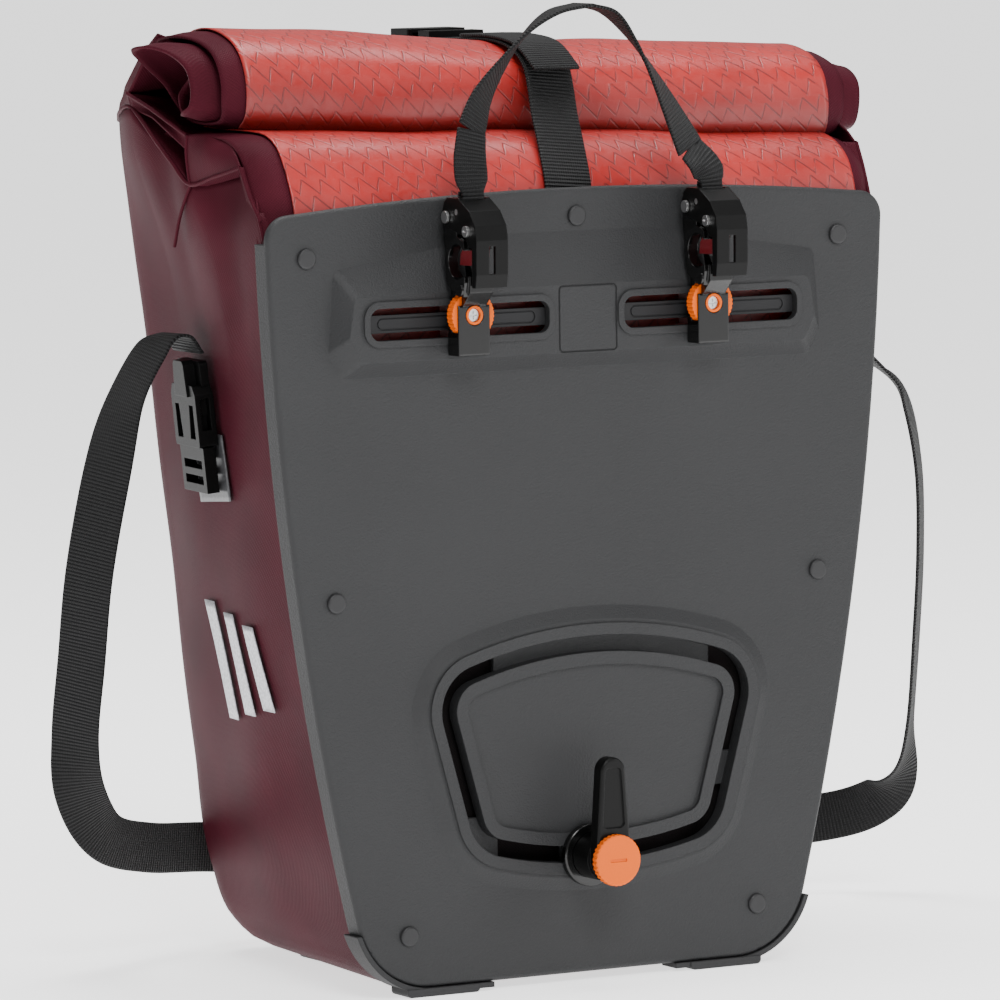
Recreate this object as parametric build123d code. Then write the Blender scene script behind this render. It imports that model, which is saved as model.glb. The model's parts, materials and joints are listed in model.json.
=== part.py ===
"""A roll-top bicycle pannier bag: moulded back plate, two sliding rack hooks and a lower strut hook.

The model is drawn with Y = 0 on the outer face of the back plate, the bag on the +Y side, +X to the right
of someone who looks at the plate, and Z = 0 on the floor. Every node is moved by half the bag's depth when
it is written, so the frame's origin is the middle of the base patch, on the floor.
"""

from build123d import *
import math
import os

os.makedirs("parts", exist_ok=True)

# ---------------------------------------------------------------- driving dimensions, in millimetres
BAG_DEPTH = 190.0
PLATE_TOP = 376.7
PLATE_BOTTOM = 4.0
PLATE_WALL = 3.0
RIM_DEPTH = 12.0
PANEL_RISE = 8.0
SLOT_Z = 317.2
SLOT_HEIGHT = 15.0
SLOT_LENGTH = 95.6
SLOT_X = 68.2
RAIL_HEIGHT = 8.4
TRACK_LIP = 4.5
TRACK_SLOT = 8.0
ARC_RADIUS = 216.0
ARC_BOTTOM = 65.0
ISLAND_X = 5.5
HOOK_X = (-67.0, 63.0)
WHEEL_Z = 320.4
WHEEL_RADIUS = 11.2
SEAT_Y = -18.9
SEAT_Z = 345.5
SEAT_RADIUS = 8.2
LATCH_PIVOT = (-10.0, 366.0)
PAD_PIVOT = (-28.8, 360.0)
KNOB_Z = ARC_BOTTOM - TRACK_SLOT / 2
PANEL_Y = 7.0
SHELL_FRONT = 8.4
SHELL_WALL = 1.6
SHELL_TOP = 386.0
ROLL_CENTRE = (6.5, 77.5, 421.5)
ROLL_DEPTH = 68.0
ROLL_HEIGHT = 44.0
ROLL_HALF = 154.5
ROLL_END = 26.0
ROLL_TILT = 2.9
FOLD_TOP = 436.5
WEB_WIDE = 25.0
WEB_NARROW = 20.0
WEB_THICK = 1.6
BUCKLE_PLACE = (142.6, 101.0)
BUCKLE_TURN = 7.6
BUCKLE_LEAN = 5.4
BUCKLE_Z = 257.0

SIDES = {"left": -1, "right": 1}


# ---------------------------------------------------------------- helpers
def facing(y):
    """A sketch plane at depth y that is seen from the plate's outer side: local x = X, local y = Z."""
    return Plane(origin=(0, y, 0), x_dir=(1, 0, 0), z_dir=(0, -1, 0))


def slab(face, front, back):
    """A face drawn in X and Z, made solid from depth front to depth back."""
    return extrude(facing(back) * face, amount=back - front)


def side_slab(face, left, right):
    """A face drawn in Y and Z, made solid from X = left to X = right."""
    plane = Plane(origin=(left, 0, 0), x_dir=(0, 1, 0), z_dir=(1, 0, 0))
    return extrude(plane * face, amount=right - left)


def polygon(points, radius=0):
    face = make_face(Polyline(*points, close=True))
    return fillet(face.vertices(), radius) if radius else face


def disc(radius, centre):
    return Pos(*centre) * Circle(radius)


def rod_y(radius, centre, front, back):
    return slab(disc(radius, centre), front, back)


def rod_x(radius, centre, left, right):
    return side_slab(disc(radius, centre), left, right)


def box(low, high):
    size = [b - a for a, b in zip(low, high)]
    middle = [(a + b) / 2 for a, b in zip(low, high)]
    return Pos(*middle) * Box(*size)


def save(name, shape):
    export_step(Pos(0, -BAG_DEPTH / 2, 0) * shape, f"parts/{name}.step")


def save_group(name, solids):
    save(name, Compound(children=[s for shape in solids for s in shape.solids()]))


def mirrored(shape):
    return mirror(shape, about=Plane.YZ)


# ---------------------------------------------------------------- back plate
def plate_outline(grow=0.0):
    """The plate's front view: wider at the top, with a low arched top edge and large lower corners."""
    low, middle, high = PLATE_BOTTOM - grow, 190 - 0.19 * grow, 368 + 0.95 * grow
    right = [(115 + 0.7 * grow, low), (154.6 + 0.98 * grow, middle), (170.8 + 1.05 * grow, high)]
    left = [(-114 - 0.7 * grow, low), (-151 - 0.98 * grow, middle), (-165.4 - 1.05 * grow, high)]
    edges = [
        Line(left[0], right[0]),
        ThreePointArc(*right),
        ThreePointArc(right[2], (2, PLATE_TOP + grow), left[2]),
        ThreePointArc(left[2], left[1], left[0]),
    ]
    face = make_face(edges)
    face = fillet(face.vertices().sort_by(Axis.Y)[:2], 40 + grow)
    return fillet(face.vertices().sort_by(Axis.Y)[-2:], max(2, 12 + grow))


def panel_outline(inset):
    """The raised hook panel: straight sides, a peaked top and a nearly level bottom."""
    half, low, shoulder, peak = 134 - inset, 292 + inset, 343 - 1.7 * inset, 359 - 3.4 * inset
    points = [(-half + 6, low), (half - 6, low), (half, low + 12), (half - 3, shoulder)]
    points += [(40, peak - 2), (-40, peak - 2), (-half + 3, shoulder), (-half, low + 12)]
    return polygon(points, 4)


def island_outline(grow=0.0):
    """The island inside the lower track. Its lower edge is one arc, so the lower hook can swing along it."""
    top, side = 157.0, 142.0
    foot_z = ARC_BOTTOM + ARC_RADIUS - math.sqrt(ARC_RADIUS**2 - 60**2)
    edges = [
        ThreePointArc((-79, side), (0, top), (79, side)),
        Line((79, side), (60, foot_z)),
        ThreePointArc((60, foot_z), (0, ARC_BOTTOM), (-60, foot_z)),
        Line((-60, foot_z), (-79, side)),
    ]
    face = fillet(make_face(edges).vertices(), 14)
    face = offset(face, amount=grow) if grow else face
    return Pos(ISLAND_X, 0) * face


def slot_face(side, grow=0.0):
    shape = RectangleRounded(SLOT_LENGTH + 2 * grow, SLOT_HEIGHT + 2 * grow, 5 + grow)
    return Pos(side * SLOT_X, SLOT_Z) * shape


def engraved(face, width):
    """A ring along a face's outline, for an engraved line."""
    return offset(face, amount=width / 2) - offset(face, amount=-width / 2)


def back_plate():
    outline = plate_outline()
    plate = slab(outline, 0, RIM_DEPTH) - slab(plate_outline(-PLATE_WALL), PLATE_WALL, RIM_DEPTH + 1)
    front_rim = plate.faces().sort_by(Axis.Y)[0].outer_wire().edges()
    plate = fillet(front_rim, 2.4)
    plate -= box((-170, PLATE_WALL, 356), (170, RIM_DEPTH + 1, PLATE_TOP + 2))
    plate += raised_panel()
    plate -= panel_cavity()
    plate += track_relief()
    plate = cut_track(plate)
    for side in SIDES.values():
        plate -= slab(slot_face(side), -PANEL_RISE - 3, PLATE_WALL + 1)
    for x, z in rivet_places():
        plate -= rod_y(2.1, (x, z), -2, PLATE_WALL + 1)
    return plate


def raised_panel():
    base = facing(0.2) * panel_outline(0)
    crown = facing(-PANEL_RISE) * panel_outline(7.5)
    panel = loft([base, crown], ruled=True)
    for side in SIDES.values():
        panel += slab(slot_face(side, 3.2), -PANEL_RISE - 1.1, -PANEL_RISE + 1)
    middle = Pos(1, 315.5) * RectangleRounded(31, 31, 2)
    panel -= slab(engraved(middle, 0.8), -PANEL_RISE - 1, -PANEL_RISE + 0.6)
    return panel


def panel_cavity():
    mouth = facing(PLATE_WALL + 0.1) * panel_outline(3)
    roof = facing(-PANEL_RISE + PLATE_WALL) * panel_outline(10.5)
    return loft([mouth, roof], ruled=True)


def track_relief():
    base = facing(0.2) * island_outline(22)
    crown = facing(-3.4) * island_outline(15.4)
    frame = loft([base, crown], ruled=True)
    frame += slab(island_outline(13.6), -TRACK_LIP, -3)
    return frame - slab(island_outline(-6.2), -TRACK_LIP - 1, -2.6)


def cut_track(plate):
    channel = island_outline(TRACK_SLOT) - island_outline()
    plate -= slab(channel, -TRACK_LIP - 1, PLATE_WALL + 1)
    bridges = slab(island_outline(TRACK_SLOT + 4) - island_outline(-4), PLATE_WALL - 0.2, 5.4)
    keep = box((-52, 2, 140), (66, 6, 180)) + box((-80, 2, 58), (-51, 6, 82)) + box((62, 2, 88), (90, 6, 104))
    return plate + (bridges & (Pos(ISLAND_X, 0, 0) * keep))


def rivet_places():
    pairs = [(144.6, 348.8), (131.6, 188.1), (95.4, 29.1)]
    return [(side * x, z) for x, z in pairs for side in (-1, 1)] + [(0, 363.3)]


def rivets():
    heads = []
    for x, z in rivet_places():
        head = rod_y(4.8, (x, z), -1.7, 0) + rod_y(2.0, (x, z), 0, 13.6)
        heads.append(fillet(head.faces().sort_by(Axis.Y)[0].edges(), 1.2))
    return heads


def rivet_washers():
    return [rod_y(6, place, 12.6, 13.5) - rod_y(2.05, place, 12, 14) for place in rivet_places()]


def corner_guard(side):
    """A rubber guard round one lower corner of the plate, with a foot under it."""
    band = plate_outline(2.6) - plate_outline(0.1)
    ends = sorted((side * 50, side * 134))
    guard = slab(band, -0.4, 13) & box((ends[0], -1, -2), (ends[1], 21, 31))
    feet = sorted((side * 58, side * 97))
    foot = box((feet[0], -1.0, 0), (feet[1], 15, PLATE_BOTTOM - 0.15))
    foot = fillet(foot.edges().filter_by(Axis.Y).sort_by(Axis.Z)[:2], 2.2)
    return guard + foot - slab(plate_outline(0.1), -1.1, 21)


# ---------------------------------------------------------------- rails behind the slots
def hook_rail(side):
    bar = box((15, -4.9, SLOT_Z - RAIL_HEIGHT / 2), (121.5, -1.2, SLOT_Z + RAIL_HEIGHT / 2))
    line = Pos(SLOT_X, SLOT_Z) * SlotOverall(84, 5.2)
    bar -= slab(engraved(line, 0.7), -5.2, -4.3)
    return bar if side > 0 else mirrored(bar)


# ---------------------------------------------------------------- bag
def shell_section(z, front_half, rear_half, front, rear, inset=0.0):
    """One level cross-section of the bag, with rounded rear corners."""
    f, r = front + inset, rear - inset
    a, b = front_half - inset, rear_half - inset
    points = [(-a, f), (a, f), (a + 2.0, f + 14), (b + 3, r - 24), (b - 18, r)]
    points += [(-b + 18, r), (-b - 3, r - 24), (-a - 2.0, f + 14)]
    return Pos(0, 0, z) * make_face(Polyline(*points, close=True))


def shell_sections(inset):
    levels = [
        (2.0, 88, 82, 32, 164),
        (17, 102, 98, SHELL_FRONT, 181),
        (45, 116, 108, SHELL_FRONT, 187),
        (100, 130, 112, SHELL_FRONT, BAG_DEPTH),
        (190, 144, 123, SHELL_FRONT, BAG_DEPTH),
        (290, 153, 134, SHELL_FRONT, BAG_DEPTH),
        (374, 158.5, 142, SHELL_FRONT, BAG_DEPTH - 2),
        (SHELL_TOP, 159, 143, SHELL_FRONT + 15.6, BAG_DEPTH - 3),
    ]
    first, last = levels[0][0], levels[-1][0]
    lift = {first: inset, last: -inset}
    return [shell_section(z + lift.get(z, 0), a, b, f, r, inset) for z, a, b, f, r in levels]


def bag_shell():
    outer = loft(shell_sections(0), ruled=True)
    inner = loft(shell_sections(SHELL_WALL), ruled=True)
    shell = outer - inner
    for x, z in rivet_places():
        shell -= rod_y(2.3, (x, z), SHELL_FRONT - 2, SHELL_FRONT + 10)
    return shell


def front_panel():
    """The red sheet between the plate and the bag, which rises above the plate to the roll."""
    outline = plate_outline(-7)
    sheet = slab(outline, PANEL_Y, PANEL_Y + 1)
    flap = [(PANEL_Y, 360), (PANEL_Y + 1, 360), (PANEL_Y + 1, 377), (28, 391), (27.4, 392.2), (PANEL_Y, 378.4)]
    sheet += side_slab(polygon(flap), -148, 158)
    for place in rivet_places():
        sheet -= rod_y(2.2, place, PANEL_Y - 1, PANEL_Y + 2)
    return sheet


def backing_board():
    board = slab(plate_outline(-20), 10.4, 12.4) & box((-200, 9, 22), (200, 14, 372))
    for place in rivet_places():
        board -= rod_y(2.1, place, 10, 13)
    return board


def base_board():
    return box((-74, 40, 4.2), (74, 144, 7.2))


def base_patch():
    return extrude(Pos(0, BAG_DEPTH / 2, 0) * RectangleRounded(150, 124, 14), amount=1.8)


def side_reflectors():
    """Three plain slanted bars on each side of the bag, standing in for a reflective print."""
    bars = []
    for side in SIDES.values():
        for step in range(3):
            bar = Pos(0, 112 - 23 * step, 152) * Rot(-14, 0, 0) * Box(0.8, 12, 56 - 8 * step)
            placed = Pos(135.4 + 1.8 * step + 2.4, 0, 0) * bar
            bars.append(placed if side > 0 else mirrored(placed))
    return bars


# ---------------------------------------------------------------- rolled top
def roll_frame(shape):
    """Places a piece that is drawn along X in the tilted frame of the roll."""
    return Pos(*ROLL_CENTRE) * Rot(0, ROLL_TILT, 0) * shape


def roll_ring(start, stop, grow, wall):
    outer = RectangleRounded(ROLL_DEPTH + 2 * grow, ROLL_HEIGHT + 2 * grow, ROLL_HEIGHT / 2 + grow - 0.1)
    inner = offset(outer, amount=-wall)
    plane = Plane(origin=(start, 0, 0), x_dir=(0, 1, 0), z_dir=(1, 0, 0))
    return extrude(plane * (outer - inner), amount=stop - start)


def roll_end(side):
    """The folded end of the roll, a cap with its open side against the roll."""
    plug = roll_ring(ROLL_HALF + 0.2, ROLL_HALF + ROLL_END, 0, 4)
    outer = RectangleRounded(ROLL_DEPTH - 4, ROLL_HEIGHT - 4, ROLL_HEIGHT / 2 - 2.1)
    plug += side_slab(outer, ROLL_HALF + ROLL_END - 3, ROLL_HALF + ROLL_END)
    return roll_frame(plug if side > 0 else mirrored(plug))


def top_fabric():
    """The bag's closed top: a hollow fold under the roll and up behind it."""
    x, y, z = ROLL_CENTRE
    back = BAG_DEPTH - 2
    outline = [(31, 370), (33, 392), (38, 398.2), (113, 398.4), (113.4, FOLD_TOP), (124, FOLD_TOP - 1)]
    outline += [(144, 427), (162, 419), (180, 409), (back, 398), (back, 370)]
    face = polygon([(a - y, b - z) for a, b in outline])
    outer = roll_frame(side_slab(face, -152, 143)) - box((-200, 0, 300), (200, 250, SHELL_TOP + 0.3))
    hollow = roll_frame(side_slab(offset(face, amount=-SHELL_WALL), -150.4, 141.4))
    return outer - (hollow - box((-200, 0, 300), (200, 250, SHELL_TOP + 0.3 + SHELL_WALL)))


# ---------------------------------------------------------------- webbing
def ribbon(points, across, widths, thick=WEB_THICK):
    """Webbing through hand-placed points. across gives each point's width direction."""
    sections = []
    count = len(points)
    for i, (point, wide, width) in enumerate(zip(points, across, widths)):
        before, after = Vector(*points[max(i - 1, 0)]), Vector(*points[min(i + 1, count - 1)])
        along = (after - before).normalized()
        wide = Vector(*wide)
        wide = (wide - along * wide.dot(along)).normalized()
        plane = Plane(origin=point, x_dir=wide, z_dir=along)
        sections.append(plane * Rectangle(width, thick))
    return loft(sections, ruled=True)


def closure_strap():
    points = [(-1, 4.6, 367), (-1, 4.6, 379), (1, 12, 391), (4, 27, 407), (6, 38, 420), (7, 41.5, 430)]
    points += [(7, 47, 439.5), (7, 58, 444.8), (7, 78, 446), (7, 98, 445.8), (7, 112, 444.4), (7, 124, 443.4)]
    return ribbon(points, [(1, 0, 0)] * len(points), [WEB_WIDE] * len(points))


def closure_tab():
    points = [(7, 29, 432.2), (7, 38, 440.8), (7, 50, 446.6), (7, 62, 448.4), (7, 80, 449)]
    return ribbon(points, [(1, 0, 0)] * len(points), [WEB_WIDE] * len(points), 2.6)


def rear_strap():
    points = [(7, 164.4, 443.4), (7, 174, 430), (7, 185, 414), (7, 191.4, 398), (7, 193, 382), (7, 193, 350)]
    return ribbon(points, [(1, 0, 0)] * len(points), [WEB_WIDE] * len(points))


def shoulder_route(side):
    """From the top of a side buckle, out and down beside the bag, and round behind it to the adjuster."""
    if side < 0:
        points = [(-154, 101, 301), (-161, 100, 309), (-173, 100, 304), (-187, 103, 279), (-195, 108, 244)]
        points += [(-200, 118, 197), (-199, 130, 154), (-197, 142, 117), (-190, 152, 88), (-170, 166, 64)]
        points += [(-138, 184, 54), (-98, 203, 49), (-50, 212, 44), (-6, 214, 42)]
        across = [(0, 1, 0)] * 2 + [(0.4, -1, 0.2)] * 2 + [(0.8, -1, 0)] * 4
        across += [(0.7, -0.6, 0.5), (0.2, -0.3, 1), (0, -0.1, 1)] + [(0, 0, 1)] * 3
    else:
        points = [(155, 101, 300.6), (166, 99, 309), (192, 96, 301), (224, 95, 278), (244, 98, 260)]
        points += [(255, 102, 225), (261, 110, 182), (266, 122, 138), (272, 138, 92), (276, 154, 62)]
        points += [(270, 172, 46), (250, 190, 38), (205, 203, 36), (150, 210, 38), (80, 213, 40), (30, 214, 42)]
        across = [(0, -1, 0)] * 3 + [(-0.3, -1, 0)] + [(-0.8, -1, 0)] * 5
        across += [(-0.7, -0.6, 0.5), (-0.2, -0.2, 1)] + [(0, 0, 1)] * 5
    return points, across


def shoulder_strap(side):
    points, across = shoulder_route(side)
    return ribbon(points, across, [WEB_WIDE] * len(points))


def strap_adjuster():
    frame = Pos(12, 214, 42) * Box(34, 3.6, 33)
    for x in (-8.6, 8.6):
        frame -= Pos(12 + x, 214, 42) * Box(11, 5, 26.4)
    return frame


def handle_half(side):
    """Half of the carry handle: an arch between the hooks that twists from facing forwards to lying flat."""
    foot = HOOK_X[0] if side < 0 else HOOK_X[1]
    crown_x, crown_z, base_z = -2.0, 461.0, 383.4
    points, across, widths = [], [], []
    steps = 8
    for i in range(steps + 1):
        angle = math.pi / 2 * i / steps
        x = crown_x + (foot - crown_x) * math.cos(angle) + side * 0.3 * (i == steps)
        z = base_z + (crown_z - base_z) * math.sin(angle)
        twist = math.radians(12 + 66 * i / steps)
        points.append((x, SEAT_Y + 3 * math.sin(angle), z))
        across.append((math.cos(twist), math.sin(twist), 0))
        widths.append(WEB_NARROW)
    return ribbon(points, across, widths)


# ---------------------------------------------------------------- upper hooks
def hook_base(x):
    """The glossy hook moulding: clamp block, ramp, open C for the rack tube, and ears for the latch."""
    block = box((-8.4, -20, 301.5), (8.4, -9.6, 325))
    block = fillet(block.faces().sort_by(Axis.Y)[0].edges(), 0.8)
    wall = [(-9.6, 324), (-8.9, 332.5), (-2.6, 355), (-2.6, 368), (-6, 371), (-12, 370.4), (-15, 365)]
    wall += [(-15, 357), (-25.6, 354.4), (-27.1, 346), (-27.1, 331.4), (-20, 324.6)]
    ears = side_slab(polygon(wall), -6.2, -3.0) + side_slab(polygon(wall), 3.0, 6.2)
    plate = [(-9.8, 334), (-7.2, 345.5), (-9.6, 354), (-18.9, 357.2), (-25, 355.2), (-25.8, 349), (-25.8, 336)]
    ears += side_slab(polygon(plate + [(-24.8, 329.4), (-20, 329.4)]), -8.4, -6.2)
    lip = side_slab(polygon([(-27.1, 336), (-27.1, 331.4), (-20, 324.6), (-19.4, 336)]), -6.2, 6.2)
    base = block + ears + lip
    base -= rod_x(SEAT_RADIUS, (SEAT_Y, SEAT_Z), -12, 12)
    base -= box((-12, -30, SEAT_Z - 6.6), (12, SEAT_Y, SEAT_Z + 5.5))
    base -= rod_y(WHEEL_RADIUS + 0.5, (0, WHEEL_Z), -18.9, -13.3)
    base -= rod_y(4.7, (0, WHEEL_Z), -21, -18) + rod_y(1.5, (0, WHEEL_Z), -14, -9)
    base -= rod_x(1.6, LATCH_PIVOT, -10, 10)
    base += rod_x(2.7, (-22.4, 332.4), -9.4, -8.3)
    return Pos(x, 0, 0) * base


def latch_cover(x):
    """The matte front latch: a folded channel with two cheeks on the pivot pin and a long front wall."""
    cheek = [(-10.4, 375), (-20.5, 375), (-30.5, 369.4), (-36.2, 362.6), (-37.5, 356), (-37.2, 340), (-36.2, 334)]
    cheek += [(-32.8, 334), (-33.0, 352.4), (-30.2, 352.6), (-26.2, 357.4), (-17, 359.6), (-10, 361.4)]
    cheek += [(-5.6, 364), (-5.4, 368.4), (-7.4, 373)]
    cover = side_slab(polygon(cheek), -8.4, -6.5) + side_slab(polygon(cheek), 6.5, 8.4)
    wall = [(-10.4, 375), (-20.5, 375), (-30.5, 369.4), (-36.2, 362.6), (-37.5, 356), (-37.2, 340), (-36.2, 334)]
    wall += [(-34.2, 334), (-35.2, 340), (-35.4, 355.6), (-34.4, 361.6), (-29.2, 367.6), (-20, 373), (-10.4, 373)]
    cover += side_slab(polygon(wall), -8.4, 8.4)
    cover -= box((-1.6, -40, 340.4), (1.8, -34, 353.2))
    cover -= box((-6.2, -21.4, 372), (6.2, -15.4, 376))
    cover -= rod_x(1.66, LATCH_PIVOT, -9, 9) + rod_x(1.5, PAD_PIVOT, -9, 9) + rod_x(1.4, (-18.4, 368.6), -9, 9)
    return Pos(x, 0, 0) * cover


def pivot_pin(x):
    pin = rod_x(1.6, LATCH_PIVOT, -9.2, 9.2) + rod_x(2.9, LATCH_PIVOT, -9.9, -8.7)
    return Pos(x, 0, 0) * (pin + rod_x(2.9, LATCH_PIVOT, 8.7, 9.9))


def pad_screw(x):
    screw = rod_x(1.5, PAD_PIVOT, -8.6, 8.4) + rod_x(2.6, PAD_PIVOT, -9.8, -8.4)
    y, z = PAD_PIVOT
    slot = box((-10, y - 1.8, z - 0.35), (-9.2, y + 1.8, z + 0.35))
    return Pos(x, 0, 0) * (screw - slot)


def tube_pad(x):
    outline = [(-31.4, 358), (-30.2, 348), (-26, 343.6), (-11.3, 343.4), (-12.2, 348.8), (-15.6, 352.4)]
    outline += [(-20, 354.4), (-25.6, 358.4), (-26.2, 361)]
    pad = side_slab(polygon(outline), -2.6, 2.6) + rod_x(3.2, PAD_PIVOT, -2.6, 2.6)
    return Pos(x, 0, 0) * (pad - rod_x(1.56, PAD_PIVOT, -3, 3))


def strap_pin(x):
    return Pos(x, 0, 0) * rod_x(1.4, (-18.4, 368.6), -8.3, 8.3)


def handle_end(x):
    """The sewn loop at each end of the handle, round its pin in the latch."""
    loop = rod_x(3.0, (-18.4, 368.6), -5.9, 5.9) + box((-5.9, -19.9, 368.6), (5.9, -16.9, 381.3))
    return Pos(x, 0, 0) * (loop - rod_x(1.45, (-18.4, 368.6), -7, 7))


def latch_spring(x):
    """A closing spring on the pivot pin, drawn as the sleeve that its coils fill."""
    ring = rod_x(2.7, LATCH_PIVOT, -2.4, 2.4) - rod_x(1.9, LATCH_PIVOT, -3, 3)
    return Pos(x, 0, 0) * ring


def thumbwheel(x):
    wheel = rod_y(WHEEL_RADIUS, (0, WHEEL_Z), -18.6, -13.6) + rod_y(4.4, (0, WHEEL_Z), -20.2, -18.5)
    teeth = 36
    for i in range(teeth):
        angle = 2 * math.pi * i / teeth
        rim = WHEEL_RADIUS + 0.35
        place = (rim * math.cos(angle), WHEEL_Z + rim * math.sin(angle))
        wheel -= rod_y(0.65, place, -19, -13)
    wheel -= rod_y(3.2, (0, WHEEL_Z), -21, -16.9) + rod_y(1.6, (0, WHEEL_Z), -17, -13)
    return Pos(x, 0, 0) * wheel


def clamp_screw(x):
    screw = rod_y(3.0, (0, WHEEL_Z), -18.8, -17) + rod_y(1.5, (0, WHEEL_Z), -17.1, -9.6)
    cross = box((-0.4, -19, WHEEL_Z - 1.9), (0.4, -18.1, WHEEL_Z + 1.9))
    cross += box((-1.9, -19, WHEEL_Z - 0.4), (1.9, -18.1, WHEEL_Z + 0.4))
    return Pos(x, 0, 0) * (screw - cross)


def rail_clamp(x):
    """The metal channel that wraps the rail from behind and carries the hook."""
    reach = SLOT_HEIGHT / 2 - 0.5
    channel = box((-6.5, -9.55, SLOT_Z - reach), (6.5, 1.6, SLOT_Z + reach))
    gap = RAIL_HEIGHT / 2 + 0.3
    channel -= box((-7, -10, SLOT_Z - gap), (7, -0.8, SLOT_Z + gap))
    return Pos(x, 0, 0) * channel


# ---------------------------------------------------------------- lower hook
def track_carriage():
    """The slider in the lower track, with the stub shaft that the arm turns on."""
    carriage = rod_y(15, (0, KNOB_Z), -8.2, -4.8)
    carriage = fillet(carriage.faces().sort_by(Axis.Y)[0].edges(), 1.0)
    neck = TRACK_SLOT / 2 - 0.45
    carriage += box((-7, -5, KNOB_Z - neck), (7, 3.2, KNOB_Z + neck))
    carriage += rod_y(5, (0, KNOB_Z), -28.2, -8)
    return carriage - rod_y(2.6, (0, KNOB_Z), -29, -12)


def carriage_nut():
    return box((-11, 3.3, KNOB_Z - 8), (11, 5.2, KNOB_Z + 8))


def lower_arm():
    top = KNOB_Z + 48.4
    left = [(-9.6, KNOB_Z), (-6.6, top - 6.6)]
    blade = make_face([
        Line(left[0], left[1]),
        ThreePointArc(left[1], (0, top), (6.6, top - 6.6)),
        Line((6.6, top - 6.6), (9.6, KNOB_Z)),
        ThreePointArc((9.6, KNOB_Z), (0, KNOB_Z - 9.6), left[0]),
    ])
    arm = slab(blade, -28.3, -21.6)
    arm = fillet(arm.faces().sort_by(Axis.Y)[0].edges(), 1.4)
    panel = make_face(Polyline((-6.0, KNOB_Z + 15), (-4.2, top - 5), (4.2, top - 5), (6.0, KNOB_Z + 15), close=True))
    arm -= slab(fillet(panel.vertices(), 2.4), -29, -27.4)
    arm += rod_y(11, (0, KNOB_Z), -22, -8.6)
    return arm - rod_y(5.06, (0, KNOB_Z), -30, -8)


def lower_knob():
    radius = 12.2
    knob = rod_y(radius, (0, KNOB_Z), -32.4, -28.7)
    knob = fillet(knob.faces().sort_by(Axis.Y)[0].edges(), 1.0)
    notches = 32
    for i in range(notches):
        angle = 2 * math.pi * i / notches
        place = ((radius + 0.5) * math.cos(angle), KNOB_Z + (radius + 0.5) * math.sin(angle))
        knob -= rod_y(0.9, place, -33, -28)
    knob += rod_y(2.54, (0, KNOB_Z), -29, -14)
    return knob - box((-4.4, -33, KNOB_Z - 0.7), (4.4, -31.8, KNOB_Z + 0.7))


# ---------------------------------------------------------------- side buckles, drawn against a flat wall
def on_side(shape, side):
    """Turns a piece drawn with its back on X = 0 to lie on the bag's sloping side."""
    lean = Rot(0, 0, BUCKLE_TURN) * Rot(0, BUCKLE_LEAN, 0)
    placed = Pos(*BUCKLE_PLACE, BUCKLE_Z) * lean * Pos(0, 0, -BUCKLE_Z) * shape
    return placed if side > 0 else mirrored(placed)


def reflector_patch(side):
    patch = make_face(Polyline((-27, 232), (15, 229), (20, 250), (6, 262), (-22, 262), close=True))
    return on_side(side_slab(fillet(patch.vertices(), 1.5), 0.6, 1.7), side)


def buckle_prongs(side):
    """The half that stays on the bag: a ladder frame with two prongs and a guide."""
    frame = box((4.2, -16, 235), (10.2, 16, BUCKLE_Z - 0.3))
    frame -= box((3, -12, 239), (11.5, 12, 243)) + box((3, -12, 246.4), (11.5, 12, 250.4))
    frame += box((5.4, -1.6, 256), (9.0, 1.6, 278))
    for way in (-1, 1):
        frame += box((5.4, way * 10.2 - 2, 256), (9.0, way * 10.2 + 2, 281))
        frame += box((5.4, way * 11.4 - 2.6, 272), (9.0, way * 11.4 + 2.6, 281))
    return on_side(frame, side)


def buckle_housing(side):
    """The half on the strap, which slides up off the prongs: a hollow body, a strap bar and a raised tab."""
    z = BUCKLE_Z
    body = [(-16.4, z), (16.4, z), (16.4, z + 25), (13.5, z + 29.5), (-13.5, z + 29.5), (-16.4, z + 25)]
    housing = side_slab(polygon(body, 1.5), 2.6, 11.8)
    frame = box((3.4, -15.2, z + 28), (7.4, 15.2, z + 40.6))
    housing += fillet(frame.edges().filter_by(Axis.X), 2.2)
    tab = [(-8.4, z + 24), (8.4, z + 24), (7.0, z + 39), (5.4, z + 41), (-5.4, z + 41), (-7.0, z + 39)]
    housing += side_slab(polygon(tab), 7.2, 12.8)
    housing -= box((4.9, -14.4, z - 1), (9.5, 14.4, z + 25.4))
    for way in (-1, 1):
        housing -= box((4.9, way * 16 - 3, z + 8), (9.5, way * 16 + 3, z + 23))
        housing -= side_slab(polygon([(way * 5, z + 4), (way * 12, z + 4), (way * 12, z + 20), (way * 7, z + 20)]), 9, 13)
    housing -= box((3, -13, z + 31), (7.1, 13, z + 35))
    return on_side(housing, side)


# ---------------------------------------------------------------- closure buckle at the back of the roll
def closure_socket():
    socket = box((-9, 143.5, 439), (23, 163, 448))
    socket = fillet(socket.edges().filter_by(Axis.Z), 2)
    return socket - box((-6.6, 142, 441.2), (20.6, 158, 446))


def closure_prongs():
    prongs = box((-8, 125, 439.6), (22, 136, 447.4)) - box((-5, 128, 437), (19, 132.6, 450))
    for x in (-2.4, 7.0, 16.4):
        prongs += box((x - 1.8, 135, 441.6), (x + 1.8, 156, 445.6))
    return prongs


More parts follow.
